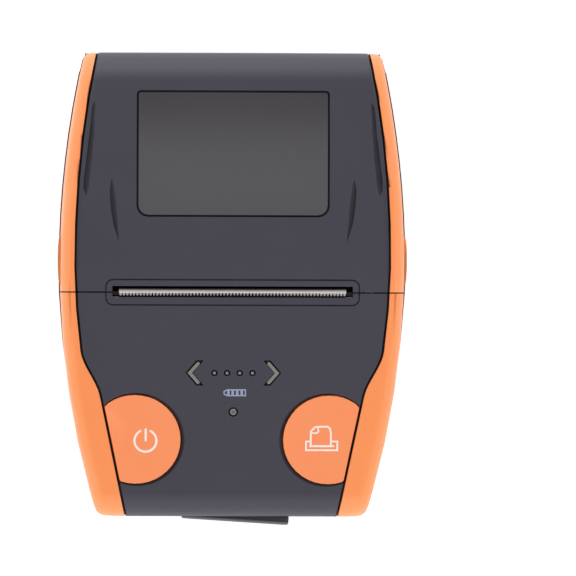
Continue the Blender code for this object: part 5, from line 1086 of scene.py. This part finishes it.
# Soft boxes: name, place, aim, width and height, and watts
SOFT_BOXES = (
    ("softbox_rear", (-0.15, 0.95, 0.25), (0, 0, 0.03), (0.9, 0.4), 3.4),
    ("softbox_top", (0, 0.03, 0.45), (0, 0.01, 0.03), (0.30, 0.30), 0.22),
    ("softbox_front", (0.10, -0.85, 0.55), (0, 0, 0.03), (0.9, 0.5), 2.2),
)

# The camera's sensor and lens in millimetres, how far it sees, the width that it sees at the target's
# height, where it aims and stands, and how far it is rolled
SENSOR_MM = 36.0
LENS_MM = 500.0
FARTHEST = 20.0
SEEN_WIDTH = 140.40 * MM
AIM = (13.57 * MM, BODY_SHIFT - 0.66 * MM, 34 * MM)
CAMERA_X = -20.17 * MM
CAMERA_ROLL = math.radians(0.2)


def make_floor():
    """A flat square of white paper under the printer, lit a little from within so that it stays white."""
    mesh = bpy.data.meshes.new("floor")
    corners = [(x * FLOOR_HALF, y * FLOOR_HALF, FLOOR_Z) for x, y in ((-1, -1), (1, -1), (1, 1), (-1, 1))]
    mesh.from_pydata(corners, [], [(0, 1, 2, 3)])
    floor = add_object("floor", mesh)
    made, _, shader = new_material("white_paper_sweep")
    shader_values(shader, Roughness=0.9, Base_Color=WHITE, Emission_Color=WHITE, Emission_Strength=0.5)
    mesh.materials.append(made)


def area_light(name, place, aim, size, power):
    """A rectangular soft box at a place, turned to face its aim."""
    data = bpy.data.lights.new(name, "AREA")
    data.shape = "RECTANGLE"
    data.size, data.size_y = size
    data.energy = power
    light = add_object(name, data)
    light.location = place
    light.rotation_mode = "QUATERNION"
    light.rotation_quaternion = (Vector(aim) - Vector(place)).to_track_quat("-Z", "Y")


def make_light():
    """A white tent that is darker overhead, where the camera is, and soft boxes behind, above and in
    front."""
    world = bpy.data.worlds.new("studio")
    world.use_nodes = True
    tree = world.node_tree
    way = node(tree, "ShaderNodeTexCoord").outputs["Generated"]
    height = node(tree, "ShaderNodeSeparateXYZ", {"Vector": way}).outputs["Z"]
    ramp = node(tree, "ShaderNodeValToRGB", {"Fac": height})
    peak = max(strength for _, strength in TENT_STRENGTHS)
    points = ramp.color_ramp.elements
    while len(points) < len(TENT_STRENGTHS):
        points.new(0.5)
    for point, (place, strength) in zip(points, TENT_STRENGTHS):
        point.position = place
        point.color = (strength / peak,) * 3 + (1.0,)
    background = tree.nodes["Background"]
    tree.links.new(ramp.outputs["Color"], background.inputs["Color"])
    background.inputs["Strength"].default_value = peak
    bpy.context.scene.world = world
    for box in SOFT_BOXES:
        area_light(*box)
    bpy.context.scene.view_settings.view_transform = "Standard"


def make_camera():
    """A long lens over the printer, a touch to the left of it, with the printer left of the frame's
    middle."""
    data = bpy.data.cameras.new("camera")
    data.sensor_width = SENSOR_MM
    data.lens = LENS_MM
    data.clip_end = FARTHEST
    camera = add_object("camera", data)
    target = Vector(AIM)
    distance = data.lens / data.sensor_width * SEEN_WIDTH
    camera.location = (CAMERA_X, target.y, target.z + distance)
    camera.rotation_mode = "QUATERNION"
    back = (camera.location - target).normalized()
    right = Vector((0, 1, 0)).cross(back).normalized()
    right.rotate(Quaternion(back, CAMERA_ROLL))
    up = back.cross(right)
    camera.rotation_quaternion = Matrix((right, up, back)).transposed().to_quaternion()
    bpy.context.scene.camera = camera


make_floor()
make_light()
make_camera()
